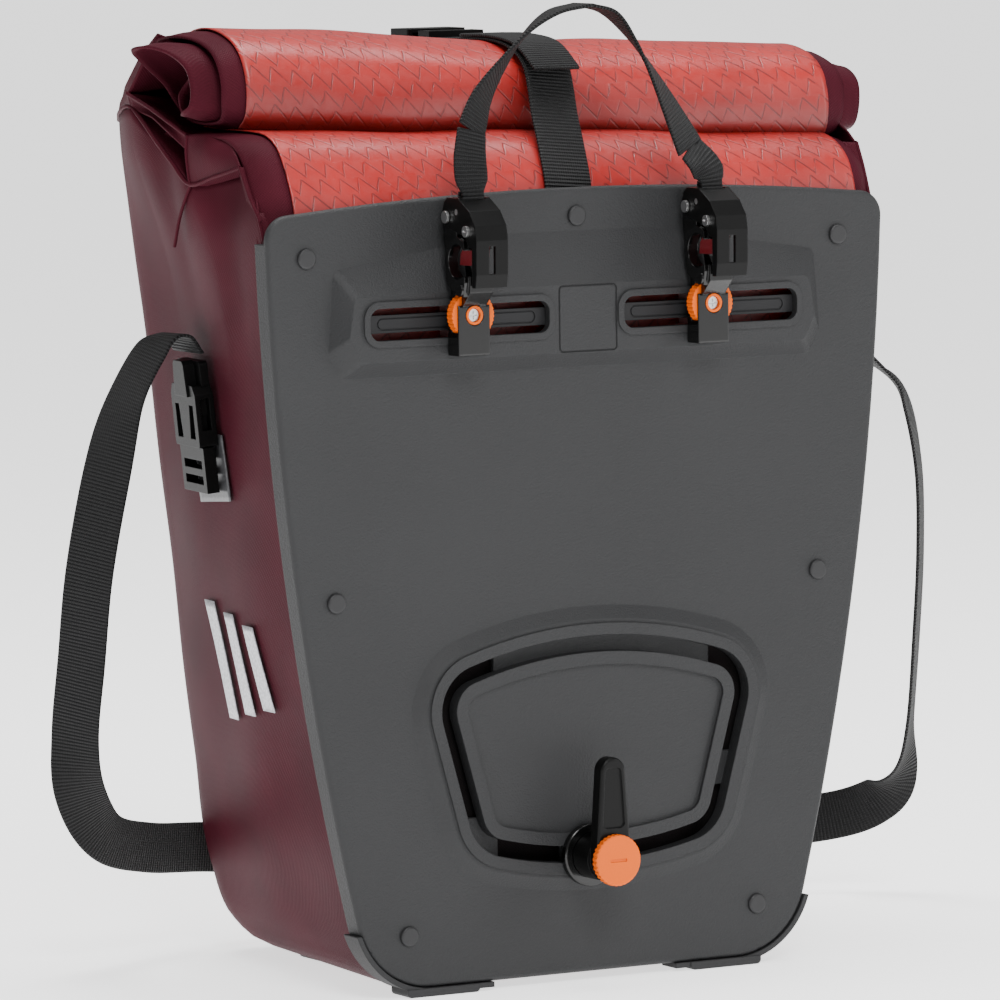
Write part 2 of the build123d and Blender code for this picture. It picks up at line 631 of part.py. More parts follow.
# ---------------------------------------------------------------- write every node
def write_bag():
    save("back_plate", back_plate())
    save("front_panel", front_panel())
    save("bag_shell", bag_shell())
    save("backing_board", backing_board())
    save("base_board", base_board())
    save("base_patch", base_patch())
    save("top_roll", roll_frame(roll_ring(-ROLL_HALF, ROLL_HALF, 0, 3)))
    save("top_fabric", top_fabric())
    save("roll_stiffener", roll_frame(Box(296, 54, 1.5)))
    save_group("plate_rivets", rivets())
    save_group("rivet_washers", rivet_washers())
    save_group("side_reflectors", side_reflectors())
    save("closure_strap", closure_strap())
    save("closure_tab", closure_tab())
    save("closure_prongs", closure_prongs())
    save("closure_socket", closure_socket())
    save("rear_strap", rear_strap())
    save("strap_adjuster", strap_adjuster())


def write_sides():
    for name, side in SIDES.items():
        save(f"corner_guard_{name}", corner_guard(side))
        save(f"hook_rail_{name}", hook_rail(side))
        save(f"roll_end_{name}", roll_end(side))
        save(f"shoulder_strap_{name}", shoulder_strap(side))
        save(f"handle_strap_{name}", handle_half(side))
        save(f"reflector_patch_{name}", reflector_patch(side))
        save(f"buckle_prongs_{name}", buckle_prongs(side))
        save(f"buckle_housing_{name}", buckle_housing(side))


def write_hooks():
    makers = [hook_base, latch_cover, pivot_pin, pad_screw, tube_pad, strap_pin, handle_end]
    makers += [latch_spring, thumbwheel, clamp_screw, rail_clamp]
    for name, x in zip(SIDES, HOOK_X):
        for maker in makers:
            save(f"{maker.__name__}_{name}", maker(x))
    for maker in (track_carriage, carriage_nut, lower_arm, lower_knob):
        save(maker.__name__, maker())


write_bag()
write_sides()
write_hooks()
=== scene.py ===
"""A roll-top pannier bag: the look of its fabric, webbing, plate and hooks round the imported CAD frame.

Shapes are written in millimetres in the plate's own frame: X to the right, Y into the bag from the outer face
of the back plate, and Z up from the floor. at() turns them into the row frame, in metres.
"""

import json
import math

import bpy
import numpy as np
from mathutils import Matrix, Vector


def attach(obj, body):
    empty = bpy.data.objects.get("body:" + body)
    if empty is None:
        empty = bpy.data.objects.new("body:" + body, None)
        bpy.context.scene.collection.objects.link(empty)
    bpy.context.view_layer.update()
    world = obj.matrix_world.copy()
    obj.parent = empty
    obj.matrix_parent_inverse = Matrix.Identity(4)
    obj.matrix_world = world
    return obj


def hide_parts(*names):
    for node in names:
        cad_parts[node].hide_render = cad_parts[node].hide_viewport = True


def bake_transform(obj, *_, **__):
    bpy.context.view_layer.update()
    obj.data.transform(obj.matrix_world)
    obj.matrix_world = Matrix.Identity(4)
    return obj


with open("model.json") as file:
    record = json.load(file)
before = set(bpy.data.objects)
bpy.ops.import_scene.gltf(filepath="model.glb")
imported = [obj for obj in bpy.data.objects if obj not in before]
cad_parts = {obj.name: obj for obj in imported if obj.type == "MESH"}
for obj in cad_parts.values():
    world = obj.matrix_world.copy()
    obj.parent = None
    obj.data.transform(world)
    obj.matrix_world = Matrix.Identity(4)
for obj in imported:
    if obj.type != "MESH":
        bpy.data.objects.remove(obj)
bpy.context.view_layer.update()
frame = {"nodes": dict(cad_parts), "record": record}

HALF_DEPTH = 95.0  # from the plate's outer face to the row frame's origin
RIGHT_SHIFT = 9.5  # how much further the bag reaches on its right than on its left
ROLL_MIDDLE = 6.5
WEB_THICK = 1.7
SHOULDER_WIDTH = 24.6
HANDLE_WIDTH = 20.0
CLOSURE_WIDTH = 25.0
SIDE_NAME = {-1: "_left", 1: "_right"}


def at(points):
    """Plate-frame millimetres to row-frame metres."""
    out = np.array(points, float)
    out[..., 1] -= HALF_DEPTH
    return out / 1000.0


# ---------------------------------------------------------------- camera, floor and light
CAMERA_PLACE = (-1877.49, -3218.57, 572.42)
CAMERA_TARGET = (-43.34, 0.0, 231.43)
CAMERA_LENS = 285.5
CAMERA_ROLL = -0.762
WORLD_STRENGTH = 0.38
FLOOR_GLOW = 1.4
FLOOR_REACH = 30
FLOOR_LEVEL = -0.0002
# Each softbox has a name, a place, a target, a size and a power, in metres and watts.
SOFTBOXES = [
    ("key", (-0.7, -2.7, 2.5), (0, 0, 0.22), (1.3, 1.3), 96),
    ("fill", (2.2, -1.8, 1.2), (0, 0, 0.22), (1.2, 1.8), 30),
    ("side", (-2.4, 0.6, 1.0), (-0.1, 0, 0.25), (1.0, 1.8), 5),
    ("top", (0.1, 0.2, 2.4), (0, 0, 0.3), (1.6, 1.0), 66),
]


def place_camera():
    data = bpy.data.cameras.new("camera")
    data.sensor_width = 36.0
    data.lens = CAMERA_LENS
    data.clip_end = 50
    camera = bpy.data.objects.new("camera", data)
    bpy.context.scene.collection.objects.link(camera)
    position = Vector(at(CAMERA_PLACE))
    forward = (Vector(at(CAMERA_TARGET)) - position).normalized()
    level = forward.cross(Vector((0, 0, 1))).normalized()
    upright = level.cross(forward)
    roll = math.radians(CAMERA_ROLL)
    right = level * math.cos(roll) + upright * math.sin(roll)
    up = upright * math.cos(roll) - level * math.sin(roll)
    matrix = Matrix((right, up, -forward)).transposed().to_4x4()
    matrix.translation = position
    camera.matrix_world = matrix
    bpy.context.scene.camera = camera


def area_light(name, place, target, size, power):
    data = bpy.data.lights.new(name, "AREA")
    data.shape = "RECTANGLE"
    data.size, data.size_y = size
    data.energy = power
    lamp = bpy.data.objects.new(name, data)
    bpy.context.scene.collection.objects.link(lamp)
    lamp.location = place
    lamp.rotation_euler = (Vector(target) - Vector(place)).to_track_quat("-Z", "Y").to_euler()


def light_scene():
    world = bpy.data.worlds.new("studio")
    world.use_nodes = True
    background = world.node_tree.nodes["Background"]
    background.inputs["Color"].default_value = (1, 1, 1, 1)
    background.inputs["Strength"].default_value = WORLD_STRENGTH
    bpy.context.scene.world = world
    for softbox in SOFTBOXES:
        area_light(*softbox)


def floor():
    r = FLOOR_REACH
    mesh = bpy.data.meshes.new("floor")
    mesh.from_pydata([(-r, -r, 0), (r, -r, 0), (r, r, 0), (-r, r, 0)], [], [(0, 1, 2, 3)])
    plane = bpy.data.objects.new("floor", mesh)
    bpy.context.scene.collection.objects.link(plane)
    plane.location.z = FLOOR_LEVEL
    pale = Shader("floor", (0.9, 0.9, 0.9), 0.7)
    pale.bsdf.inputs["Emission Color"].default_value = (1, 1, 1, 1)
    pale.bsdf.inputs["Emission Strength"].default_value = FLOOR_GLOW
    mesh.materials.append(pale.material)


# ---------------------------------------------------------------- materials
class Shader:
    """A small wrapper that adds nodes and links them to one Principled shader."""

    def __init__(self, name, colour, rough, metal=0.0, specular=0.5):
        self.material = bpy.data.materials.new(name)
        self.material.use_nodes = True
        self.tree = self.material.node_tree
        self.bsdf = self.tree.nodes["Principled BSDF"]
        self.bsdf.inputs["Base Color"].default_value = (*colour, 1)
        self.bsdf.inputs["Roughness"].default_value = rough
        self.bsdf.inputs["Metallic"].default_value = metal
        self.bsdf.inputs["Specular IOR Level"].default_value = specular

    def node(self, kind, inputs=None, **settings):
        made = self.tree.nodes.new("ShaderNode" + kind)
        for key, value in settings.items():
            setattr(made, key, value)
        for key, value in (inputs or {}).items():
            if isinstance(value, bpy.types.NodeSocket):
                self.tree.links.new(value, made.inputs[key])
            else:
                made.inputs[key].default_value = value
        return made

    def math(self, operation, first, second=0.0):
        return self.node("Math", {0: first, 1: second}, operation=operation).outputs[0]

    def position(self):
        return self.node("TexCoord").outputs["Object"]

    def uv(self):
        return self.node("SeparateXYZ", {0: self.node("TexCoord").outputs["UV"]}).outputs

    def noise(self, scale, detail=3.0, rough=0.55):
        inputs = {"Vector": self.position(), "Scale": scale, "Detail": detail, "Roughness": rough}
        return self.node("TexNoise", inputs).outputs["Fac"]

    def wave(self, value, pitch):
        """A sine along a UV length in metres, with one full turn in each pitch."""
        return self.math("SINE", self.math("MULTIPLY", value, 2 * math.pi / pitch))

    def remap(self, value, low, high, to_low, to_high):
        inputs = {"Value": value, "From Min": low, "From Max": high, "To Min": to_low, "To Max": to_high}
        return self.node("MapRange", inputs).outputs[0]

    def tint(self, factor, dark, light):
        """Colours the surface between two shades by a factor from 0 to 1."""
        mix = self.node("Mix", data_type="RGBA")
        self.tree.links.new(factor, mix.inputs[0])
        mix.inputs[6].default_value = (*dark, 1)
        mix.inputs[7].default_value = (*light, 1)
        self.tree.links.new(mix.outputs[2], self.bsdf.inputs["Base Color"])

    def bump(self, height, strength, distance, normal=None):
        inputs = {"Height": height, "Strength": strength, "Distance": distance}
        if normal is not None:
            inputs["Normal"] = normal
        made = self.node("Bump", inputs)
        self.tree.links.new(made.outputs[0], self.bsdf.inputs["Normal"])

    def roughness(self, value):
        self.tree.links.new(value, self.bsdf.inputs["Roughness"])

    def rounded(self, radius):
        return self.node("Bevel", {"Radius": radius}, samples=4).outputs[0]


def shaded(colour, share):
    return tuple(c * share for c in colour)


def moulded(name, colour, rough, grain, depth, edge=0.0004, specular=0.5):
    """Injection-moulded plastic: a fine spark-eroded grain, slight colour drift and softened edges."""
    s = Shader(name, colour, rough, specular=specular)
    fine = s.noise(grain, 2.0, 0.6)
    drift = s.remap(s.noise(9.0), 0.3, 0.7, 0.0, 1.0)
    factor = s.math("ADD", s.math("MULTIPLY", drift, 0.6), s.math("MULTIPLY", fine, 0.4))
    s.tint(factor, shaded(colour, 0.86), shaded(colour, 1.12))
    s.bump(fine, 0.6, depth, s.rounded(edge))
    s.roughness(s.remap(fine, 0.2, 0.8, rough - 0.06, rough + 0.08))
    return s.material


def steel(name):
    s = Shader(name, (0.62, 0.62, 0.62), 0.3, metal=1.0)
    s.bump(s.noise(2500.0, 2.0), 0.2, 0.00002, s.rounded(0.0002))
    return s.material


WEAVE_PITCH = 0.0015
WEAVE_WOBBLE = 0.0012
SHEEN_TINT = (1.0, 0.55, 0.62, 1)


def woven(name, colour, rough):
    """Coated woven fabric: a plain weave, slight cloudiness and a low sheen from the coating."""
    s = Shader(name, colour, rough, specular=0.05)
    s.bsdf.inputs["Specular Tint"].default_value = SHEEN_TINT
    u, v = s.uv()[0], s.uv()[1]
    wobble = s.math("MULTIPLY", s.noise(60.0, 2.0), WEAVE_WOBBLE)
    across = s.wave(s.math("ADD", u, wobble), WEAVE_PITCH)
    along = s.wave(s.math("ADD", v, wobble), WEAVE_PITCH)
    weave = s.math("MULTIPLY", across, along)
    cloud = s.remap(s.noise(26.0, 4.0), 0.3, 0.7, 0.0, 1.0)
    threads = s.math("MULTIPLY", s.remap(weave, -1, 1, 0, 1), 0.45)
    factor = s.math("ADD", threads, s.math("MULTIPLY", cloud, 0.55))
    s.tint(factor, shaded(colour, 0.72), shaded(colour, 1.3))
    s.bump(weave, 0.35, 0.00022)
    s.roughness(s.remap(weave, -1, 1, rough + 0.08, rough - 0.06))
    return s.material


SCALE_WIDTH = 0.0104
SCALE_PITCH = 0.0085  # from one row of scales to the next
SCALE_REACH = 0.0074  # from a scale's foot to its tip
SCALE_WARP = 0.0030
LONG_SHARE = 0.8  # how much of a scale's width its long edge takes


def scale_pattern(s):
    """The groove round each scale, and the scale's rise from its edge, each from 0 to 1."""
    u, v = s.uv()[0], s.uv()[1]
    warp = s.math("MULTIPLY", s.math("SUBTRACT", s.noise(70.0, 2.0), 0.5), SCALE_WARP)
    v = s.math("ADD", v, warp)
    row = s.math("FLOOR", s.math("DIVIDE", v, SCALE_PITCH))
    level = s.math("SUBTRACT", v, s.math("MULTIPLY", row, SCALE_PITCH))
    column = s.math("DIVIDE", s.math("ADD", u, warp), SCALE_WIDTH)
    place = s.math("FRACT", s.math("ADD", column, s.math("MULTIPLY", row, 0.5)))
    long_edge = s.math("DIVIDE", place, LONG_SHARE)
    short_edge = s.math("DIVIDE", s.math("SUBTRACT", 1.0, place), 1 - LONG_SHARE)
    line = s.math("MULTIPLY", s.math("MINIMUM", long_edge, short_edge), SCALE_REACH)
    gap = s.math("SUBTRACT", level, line)
    steep = s.math("GREATER_THAN", place, LONG_SHARE)
    lean = s.math("SUBTRACT", 0.75, s.math("MULTIPLY", steep, 0.46))
    away = s.math("MULTIPLY", s.math("ABSOLUTE", gap), lean)
    edges = {"Value": away, "From Min": 0.00060, "From Max": 0.00018}
    groove = s.node("MapRange", edges, interpolation_type="SMOOTHSTEP").outputs[0]
    broken = s.remap(s.noise(150.0), 0.36, 0.50, 0.25, 1.0)
    rise = s.math("FRACT", s.math("ADD", s.math("DIVIDE", gap, SCALE_PITCH), 1.0))
    return s.math("MULTIPLY", groove, broken), rise


def embossed(name, colour, rough):
    """Glossy coated sheet embossed with rows of overlapping scales. Faces that look down are darkened with painted
    shade.
    """
    s = Shader(name, colour, rough)
    groove, rise = scale_pattern(s)
    cloud = s.remap(s.noise(20.0), 0.3, 0.7, 0.0, 0.30)
    hatch = s.math("MULTIPLY", s.noise(900.0, 2.0), 0.14)
    shade = s.math("SUBTRACT", 1.0, s.math("ADD", cloud, hatch))
    # Painted shade in the embossed grooves: the colour darkens along the groove round each scale.
    shade = s.math("SUBTRACT", shade, s.math("MULTIPLY", groove, 0.55))
    # Painted shade: faces that look down get a darker colour, taken from the Z of their normal.
    painted_shade_facing = s.node("SeparateXYZ", {0: s.node("NewGeometry").outputs["Normal"]}).outputs[2]
    shade = s.math("MULTIPLY", shade, s.remap(painted_shade_facing, -0.6, 0.45, 0.20, 1.0))
    s.tint(shade, shaded(colour, 0.22), shaded(colour, 1.18))
    height = s.math("SUBTRACT", 1.0, s.math("MULTIPLY", rise, 0.45))
    height = s.math("SUBTRACT", height, s.math("MULTIPLY", groove, 0.8))
    fine = s.math("MULTIPLY", s.noise(1800.0, 2.0), 0.10)
    s.bump(s.math("ADD", height, fine), 0.38, 0.0006)
    s.roughness(s.remap(s.noise(300.0, 2.0), 0.3, 0.7, rough - 0.07, rough + 0.09))
    s.bsdf.inputs["Coat Weight"].default_value = 0.12
    s.bsdf.inputs["Coat Roughness"].default_value = 0.3
    return s.material


RIB_PITCH = 0.00175
THREAD_PITCH = 0.0012


def webbing(name):
    """Ribbed polyester webbing: ribs across its width and thread ends along them."""
    s = Shader(name, (0.003, 0.003, 0.003), 0.6, specular=0.2)
    u, v = s.uv()[0], s.uv()[1]
    thread = s.math("MULTIPLY", s.wave(u, THREAD_PITCH), 0.25)
    height = s.math("ADD", s.wave(v, RIB_PITCH), thread)
    s.tint(s.remap(height, -1.2, 1.2, 0, 1), (0.0005, 0.0005, 0.0006), (0.0085, 0.0085, 0.009))
    s.bump(height, 0.9, 0.0004)
    s.bsdf.inputs["Sheen Weight"].default_value = 0.03
    s.bsdf.inputs["Sheen Roughness"].default_value = 0.4
    return s.material


def reflective(name, level=1.0):
    """Silver sheet of fine glass cells. A low level gives the dull print of the buckle patches."""
    s = Shader(name, (0.5, 0.5, 0.52), 0.34, metal=0.35)
    cell = s.node("TexVoronoi", {"Vector": s.position(), "Scale": 700.0}).outputs["Distance"]
    factor = s.remap(cell, 0.0, 0.8, 1.0, 0.0)
    s.tint(factor, shaded((0.36, 0.36, 0.38), level), shaded((0.62, 0.62, 0.65), level))
    s.bump(cell, 0.25, 0.0001)
    return s.material


# Each moulded material has a colour, a roughness, a grain's scale and depth, an edge radius and specular.
MOULDED = {
    "plate_plastic": ((0.0165, 0.0168, 0.0178), 0.54, 1100.0, 0.0006, 0.0008, 0.3),
    "rail_plastic": ((0.010, 0.010, 0.011), 0.5, 1500.0, 0.0001, 0.0004, 0.25),
    "rivet_plastic": ((0.018, 0.018, 0.019), 0.45, 1500.0, 0.0001, 0.0004, 0.3),
    "guard_rubber": ((0.018, 0.018, 0.019), 0.6, 1200.0, 0.0003, 0.001, 0.3),
    "board": ((0.02, 0.02, 0.02), 0.6, 900.0, 0.0002),
    "patch_rubber": ((0.03, 0.03, 0.03), 0.65, 600.0, 0.0004),
    "buckle_plastic": ((0.0025, 0.0025, 0.0025), 0.34, 1600.0, 0.00004, 0.0005, 0.08),
    "hook_gloss": ((0.002, 0.002, 0.002), 0.14, 1600.0, 0.00001, 0.0008, 0.45),
    "hook_matte": ((0.0020, 0.0020, 0.0020), 0.33, 1600.0, 0.00008, 0.0008, 0.16),
    "pad_red": ((0.13, 0.006, 0.010), 0.42, 1200.0, 0.0001),
    "orange": ((0.68, 0.105, 0.002), 0.42, 1400.0, 0.00006, 0.0003, 0.15),
}


def make_materials():
    made = {name: moulded(name, *values) for name, values in MOULDED.items()}
    made["red_coated"] = embossed("red_coated", (0.34, 0.0135, 0.011), 0.40)
    made["wine_fabric"] = woven("wine_fabric", (0.046, 0.0066, 0.0120), 0.50)
    made["board_fabric"] = woven("board_fabric", (0.006, 0.006, 0.006), 0.6)
    made["reflective"] = reflective("reflective")
    made["patch_print"] = reflective("patch_print", 0.16)
    made["webbing"] = webbing("webbing")
    made["steel"] = steel("steel")
    return made


def smooth_path(points, steps):
    """A Catmull-Rom curve through given points, with even steps between each pair."""
    p = np.array(points, float)
    p = np.vstack([2 * p[0] - p[1], p, 2 * p[-1] - p[-2]])
    out = []
    for i in range(1, len(p) - 2):
        a, b, c, d = p[i - 1], p[i], p[i + 1], p[i + 2]
        square, cube = 2 * a - 5 * b + 4 * c - d, 3 * b - a - 3 * c + d
        for k in range(steps):
            t = k / steps
            out.append(0.5 * (2 * b + (c - a) * t + square * t**2 + cube * t**3))
    out.append(p[-2])
    return np.array(out)


def unit_rows(vectors):
    """The same vectors at length 1."""
    return vectors / np.linalg.norm(vectors, axis=1)[:, None]


def lengths_along(points):
    """How far each point lies along a line of points."""
    return np.concatenate([[0], np.cumsum(np.linalg.norm(np.diff(points, axis=0), axis=1))])

def smoothstep(x):
    x = np.clip(x, 0.0, 1.0)
    return x * x * (3 - 2 * x)


def curve_at(value, table):
    """A smooth value from a short table of (position, value) pairs."""
    table = np.array(table, float)
    value = np.clip(value, table[0, 0], table[-1, 0])
    i = np.clip(np.searchsorted(table[:, 0], value) - 1, 0, len(table) - 2)
    gaps = np.gradient(table[:, 1], table[:, 0])
    x0, x1 = table[i, 0], table[i + 1, 0]
    h = x1 - x0
    t = (value - x0) / h
    a = (1 + 2 * t) * (1 - t) ** 2 * table[i, 1] + t * (1 - t) ** 2 * h * gaps[i]
    return a + t * t * (3 - 2 * t) * table[i + 1, 1] + t * t * (t - 1) * h * gaps[i + 1]


def grid_faces(rows, columns, wrapped=False):
    """Quads between rows of points. Wrapped ones also join the last column to the first."""
    faces = []
    for r in range(rows - 1):
        for c in range(columns if wrapped else columns - 1):
            d = (c + 1) % columns
            faces.append((r * columns + c, r * columns + d, (r + 1) * columns + d, (r + 1) * columns + c))
    return faces


def add_object(name, vertices, faces, uvs, slot):
    mesh = bpy.data.meshes.new(name)
    mesh.from_pydata([tuple(v) for v in at(vertices)], [], faces)
    mesh.update()
    layer = mesh.uv_layers.new(name="uv")
    corners = np.zeros(len(mesh.loops), int)
    mesh.loops.foreach_get("vertex_index", corners)
    layer.data.foreach_set("uv", np.array(uvs, float)[corners].ravel() / 1000.0)
    mesh.polygons.foreach_set("use_smooth", [True] * len(mesh.polygons))
    mesh.materials.append(MATERIALS[slot])
    made = bpy.data.objects.new(name, mesh)
    bpy.context.scene.collection.objects.link(made)
    return made


def grid_object(name, grid, slot, thick=0.0, offset=-1.0):
    """A sheet from rows of points, with UVs in real lengths along the rows and columns."""
    grid = np.array(grid, float)
    rows, columns = grid.shape[:2]
    du = np.linalg.norm(np.diff(grid, axis=1), axis=2)
    dv = np.linalg.norm(np.diff(grid, axis=0), axis=2)
    u = np.hstack([np.zeros((rows, 1)), np.cumsum(du, axis=1)])
    u -= u[:, columns // 2][:, None]
    v = np.vstack([np.zeros((1, columns)), np.cumsum(dv, axis=0)])
    uvs = np.stack([u, v], axis=2).reshape(-1, 2)
    made = add_object(name, grid.reshape(-1, 3), grid_faces(rows, columns), uvs, slot)
    made["cut"] = [float(du.sum(1).mean()) / 1000.0, float(dv.sum(0).mean()) / 1000.0]
    if thick:
        solid = made.modifiers.new("thickness", "SOLIDIFY")
        solid.thickness = thick / 1000.0
        solid.offset = offset
    return made


def ribbon(name, route, across, width, taper=None):
    """Webbing with rounded edges along a smooth route. across gives each route point's width direction."""
    steps = 12
    line = smooth_path(route, steps)
    wide = smooth_path(across, steps)
    tangent = unit_rows(np.gradient(line, axis=0))
    wide -= (wide * tangent).sum(1)[:, None] * tangent
    wide = unit_rows(wide)
    normal = np.cross(tangent, wide)
    upper = [(-1, 0), (-0.975, 0.8), (-0.9, 1), (-0.45, 1), (0, 1), (0.45, 1), (0.9, 1), (0.975, 0.8)]
    outline = np.array(upper + [(-x, -z) for x, z in upper]) * (width / 2, WEB_THICK / 2)
    if taper is not None:
        wide = wide * np.interp(np.arange(len(line)) / steps, np.arange(len(taper)), taper)[:, None]
        normal = unit_rows(normal)
    rings = line[:, None, :] + wide[:, None, :] * outline[None, :, 0:1]
    rings = rings + normal[:, None, :] * outline[None, :, 1:2]
    count, around = len(line), len(outline)
    lengths = lengths_along(line)
    uvs = np.zeros((count, around, 2))
    uvs[:, :, 0] = outline[None, :, 0]
    uvs[:, :, 1] = lengths[:, None]
    faces = grid_faces(count, around, wrapped=True)
    faces.append(tuple(range(around))[::-1])
    faces.append(tuple((count - 1) * around + c for c in range(around)))
    made = add_object(name, rings.reshape(-1, 3), faces, uvs.reshape(-1, 2), "webbing")
    made["length"] = float(lengths[-1])
    return made


def tube(name, route, radius, slot, around=8, steps=8):
    """A round bead along a route, with UVs in real lengths."""
    line = smooth_path(route, steps)
    tangent = unit_rows(np.gradient(line, axis=0))
    guide = np.array([0.0, 0.0, 1.0]) if abs(tangent[:, 2]).max() < 0.95 else np.array([1.0, 0.0, 0.0])
    side = unit_rows(np.cross(tangent, guide))
    other = np.cross(tangent, side)
    turn = np.linspace(0, 2 * math.pi, around + 1)[None, :, None]
    rows = line[:, None] + radius * (side[:, None] * np.cos(turn) + other[:, None] * np.sin(turn))
    return grid_object(name, rows, slot)


# ---------------------------------------------------------------- bag body
GUSSET_COLUMNS = 64
REAR_COLUMNS = 84
CREASE_Y, FOLD_Y = 102, 48  # depths of the two soft dents in a gusset's folded top
# Half widths of the bag by height, along the front and the rear edge of a gusset.
FRONT_HALF = [
    (0, 84), (6, 95), (17, 103), (45, 116), (100, 129),
    (190, 144), (290, 154), (340, 159), (380, 163), (420, 165),
]
REAR_HALF = [
    (0, 72), (6, 86), (17, 97), (45, 106), (100, 112),
    (190, 123), (290, 134), (374, 142), (420, 147),
]
# Depths of the same two edges by height.
FRONT_Y = [
    (0, 30), (4, 20), (12, 13), (30, 9), (60, 8.5),
    (300, 8.5), (350, 8.5), (366, 12.5), (380, 20), (392, 28),
]
REAR_Y = [
    (0, 158), (4, 170), (12, 179), (30, 185), (60, 188),
    (140, 190), (300, 190), (374, 188), (400, 184), (420, 180),
]
# Height of a gusset's top edge by depth, and how far it stands out by its share of the way back.
TOP_EDGE = [
    (12, 391), (27, 390.5), (50, 385.6), (73.3, 381.3), (90, 391),
    (104.8, 399.8), (131, 415), (156, 412.6), (180, 407.5), (190, 404),
]
TOP_FLARE = [(0, 0), (0.15, 3), (0.30, 7.5), (0.5, 12), (0.68, 14.5), (0.85, 9), (1, 2)]


def side_rows(side, rows=96):
    """One gusset, from its bottom to the crease of its folded top, in columns from front to rear."""
    grid = np.zeros((rows + 1, GUSSET_COLUMNS + 1, 3))
    for c in range(GUSSET_COLUMNS + 1):
        s = c / GUSSET_COLUMNS
        top = 395.0
        for _ in range(14):  # settles on the height at which the leaning column meets TOP_EDGE
            y = curve_at(top, FRONT_Y) * (1 - s) + curve_at(top, REAR_Y) * s
            top += 0.6 * (float(np.interp(y, *np.array(TOP_EDGE).T)) - top)
        z = top * np.linspace(0, 1, rows + 1)
        y = curve_at(z, FRONT_Y) * (1 - s) + curve_at(z, REAR_Y) * s
        half = curve_at(z, FRONT_HALF) * (1 - s) + curve_at(z, REAR_HALF) * s
        bulge = 5.0 * math.sin(math.pi * s) * smoothstep(z / 120) * (1 - smoothstep((z - 200) / 150))
        lift = smoothstep((z - (top - 110)) / 110)
        flare = float(curve_at(s, TOP_FLARE)) * lift
        tuck = -4.5 * smoothstep((0.36 - s) / 0.12) * smoothstep((z - (top - 26)) / 24)
        crease = -3.0 * lift * np.exp(-(((y - CREASE_Y) / 13.0) ** 2))
        fold = 3.4 * lift * np.exp(-(((y - FOLD_Y) / 13.0) ** 2))
        grid[:, c] = np.stack([half + bulge + flare + tuck + (crease - fold), y, z], axis=1)
    y, z = grid[:, :, 1], grid[:, :, 2]
    ripple = 0.9 * np.sin(z / 41.0 + y / 27.0 + side) * np.sin(y / 24.0 + 1.3 + 0.4 * side)
    ripple += 0.5 * np.sin(z / 19.0 - y / 33.0) * np.sin(z / 71.0 + side)
    grid[:, :, 0] += ripple * smoothstep(z / 40)
    grid[:, :, 0] *= side
    if side > 0:
        last = 3.0 * smoothstep((z - 340) / 60)
        grid[:, :, 0] += (RIGHT_SHIFT - 3.0) * smoothstep((z - 160) / 240) + last
    return grid


def rounded_rows(rows, near, passes):
    """Smooths each row of points round a sharp corner column."""
    for _ in range(passes):
        middle = (rows[:, :-2] + rows[:, 2:]) / 2
        weight = near[None, 1:-1, None]
        rows[:, 1:-1] += 0.5 * weight * (middle - rows[:, 1:-1])
    return rows


def body_rows():
    """Both gussets and the rear wall as one wall round the bag."""
    left, right = side_rows(-1), side_rows(1)
    k = np.linspace(0, 1, REAR_COLUMNS + 1)[None, 1:-1, None]
    rear = left[:, -1:, :] * (1 - k) + right[:, -1:, :] * k
    z, across = rear[:, :, 2], k[:, :, 0]
    rear[:, :, 1] += 4.5 * np.sin(math.pi * across) * smoothstep(z / 60) * (1 - smoothstep((z - 330) / 60))
    rear[:, :, 1] += 0.7 * np.sin(z / 43.0 + 5 * across) * np.sin(9 * across + 0.7)
    whole = np.concatenate([left, rear, right[:, ::-1]], axis=1)
    count = whole.shape[1]
    near = np.zeros(count)
    for corner in (GUSSET_COLUMNS, GUSSET_COLUMNS + REAR_COLUMNS):
        near += np.exp(-(((np.arange(count) - corner) / 5.0) ** 4))
    return rounded_rows(whole, np.clip(near, 0, 1), 26)


def build_shell(body):
    """The walls, the front wall behind the plate, and the bottom, which closes inward in rings."""
    shell = grid_object("shell_walls", body, "wine_fabric", thick=1.2, offset=1.0)
    k = np.linspace(0, 1, 41)[None, :, None]
    front = body[:, 0:1, :] * (1 - k) + body[:, -1:, :] * k
    below_flap = body[:, 0, 2] < 372
    front_wall = grid_object("shell_front", front[below_flap], "wine_fabric", thick=1.0)
    ring = np.concatenate([body[0, :], front[0, ::-1][1:-1]])
    centre = np.array([0.0, 96.0, 1.2])
    steps = []
    for f in (1.0, 0.97, 0.85, 0.6, 0.3, 0.02):
        outer = max(0.0, f - 0.6) / 0.4
        loop = centre + (ring - centre) * f
        loop[:, 2] = ring[:, 2] * outer + 0.9 * (1 - outer)
        steps.append(np.vstack([loop, loop[:1]]))
    bottom = grid_object("shell_bottom", np.array(steps)[::-1], "wine_fabric", thick=1.0, offset=1.0)
    return [shell, front_wall, bottom]


def wall_x(body, side, y, z):
    """X of a gusset's outer face at a depth and height."""
    columns = range(4, GUSSET_COLUMNS - 2)
    if side > 0:
        columns = [body.shape[1] - 1 - c for c in columns]
    ys = [float(np.interp(z, body[:, c, 2], body[:, c, 1])) for c in columns]
    xs = [float(np.interp(z, body[:, c, 2], body[:, c, 0])) for c in columns]
    return float(np.interp(y, ys, xs)) + side * 1.2


def wall_patch(name, body, side, corners, slot, size=14):
    """A thin patch with four corners, given as (Y, Z), laid on a gusset."""
    rows = []
    (y0, z0), (y1, z1), (y2, z2), (y3, z3) = corners
    for v in np.linspace(0, 1, size + 1):
        row = []
        for u in np.linspace(0, 1, size + 1):
            y = (y0 * (1 - u) + y1 * u) * (1 - v) + (y3 * (1 - u) + y2 * u) * v
            z = (z0 * (1 - u) + z1 * u) * (1 - v) + (z3 * (1 - u) + z2 * u) * v
            row.append((wall_x(body, side, y, z) + side * 0.25, y, z))
        rows.append(row if side < 0 else row[::-1])
    return grid_object(name, rows, slot, thick=0.5)


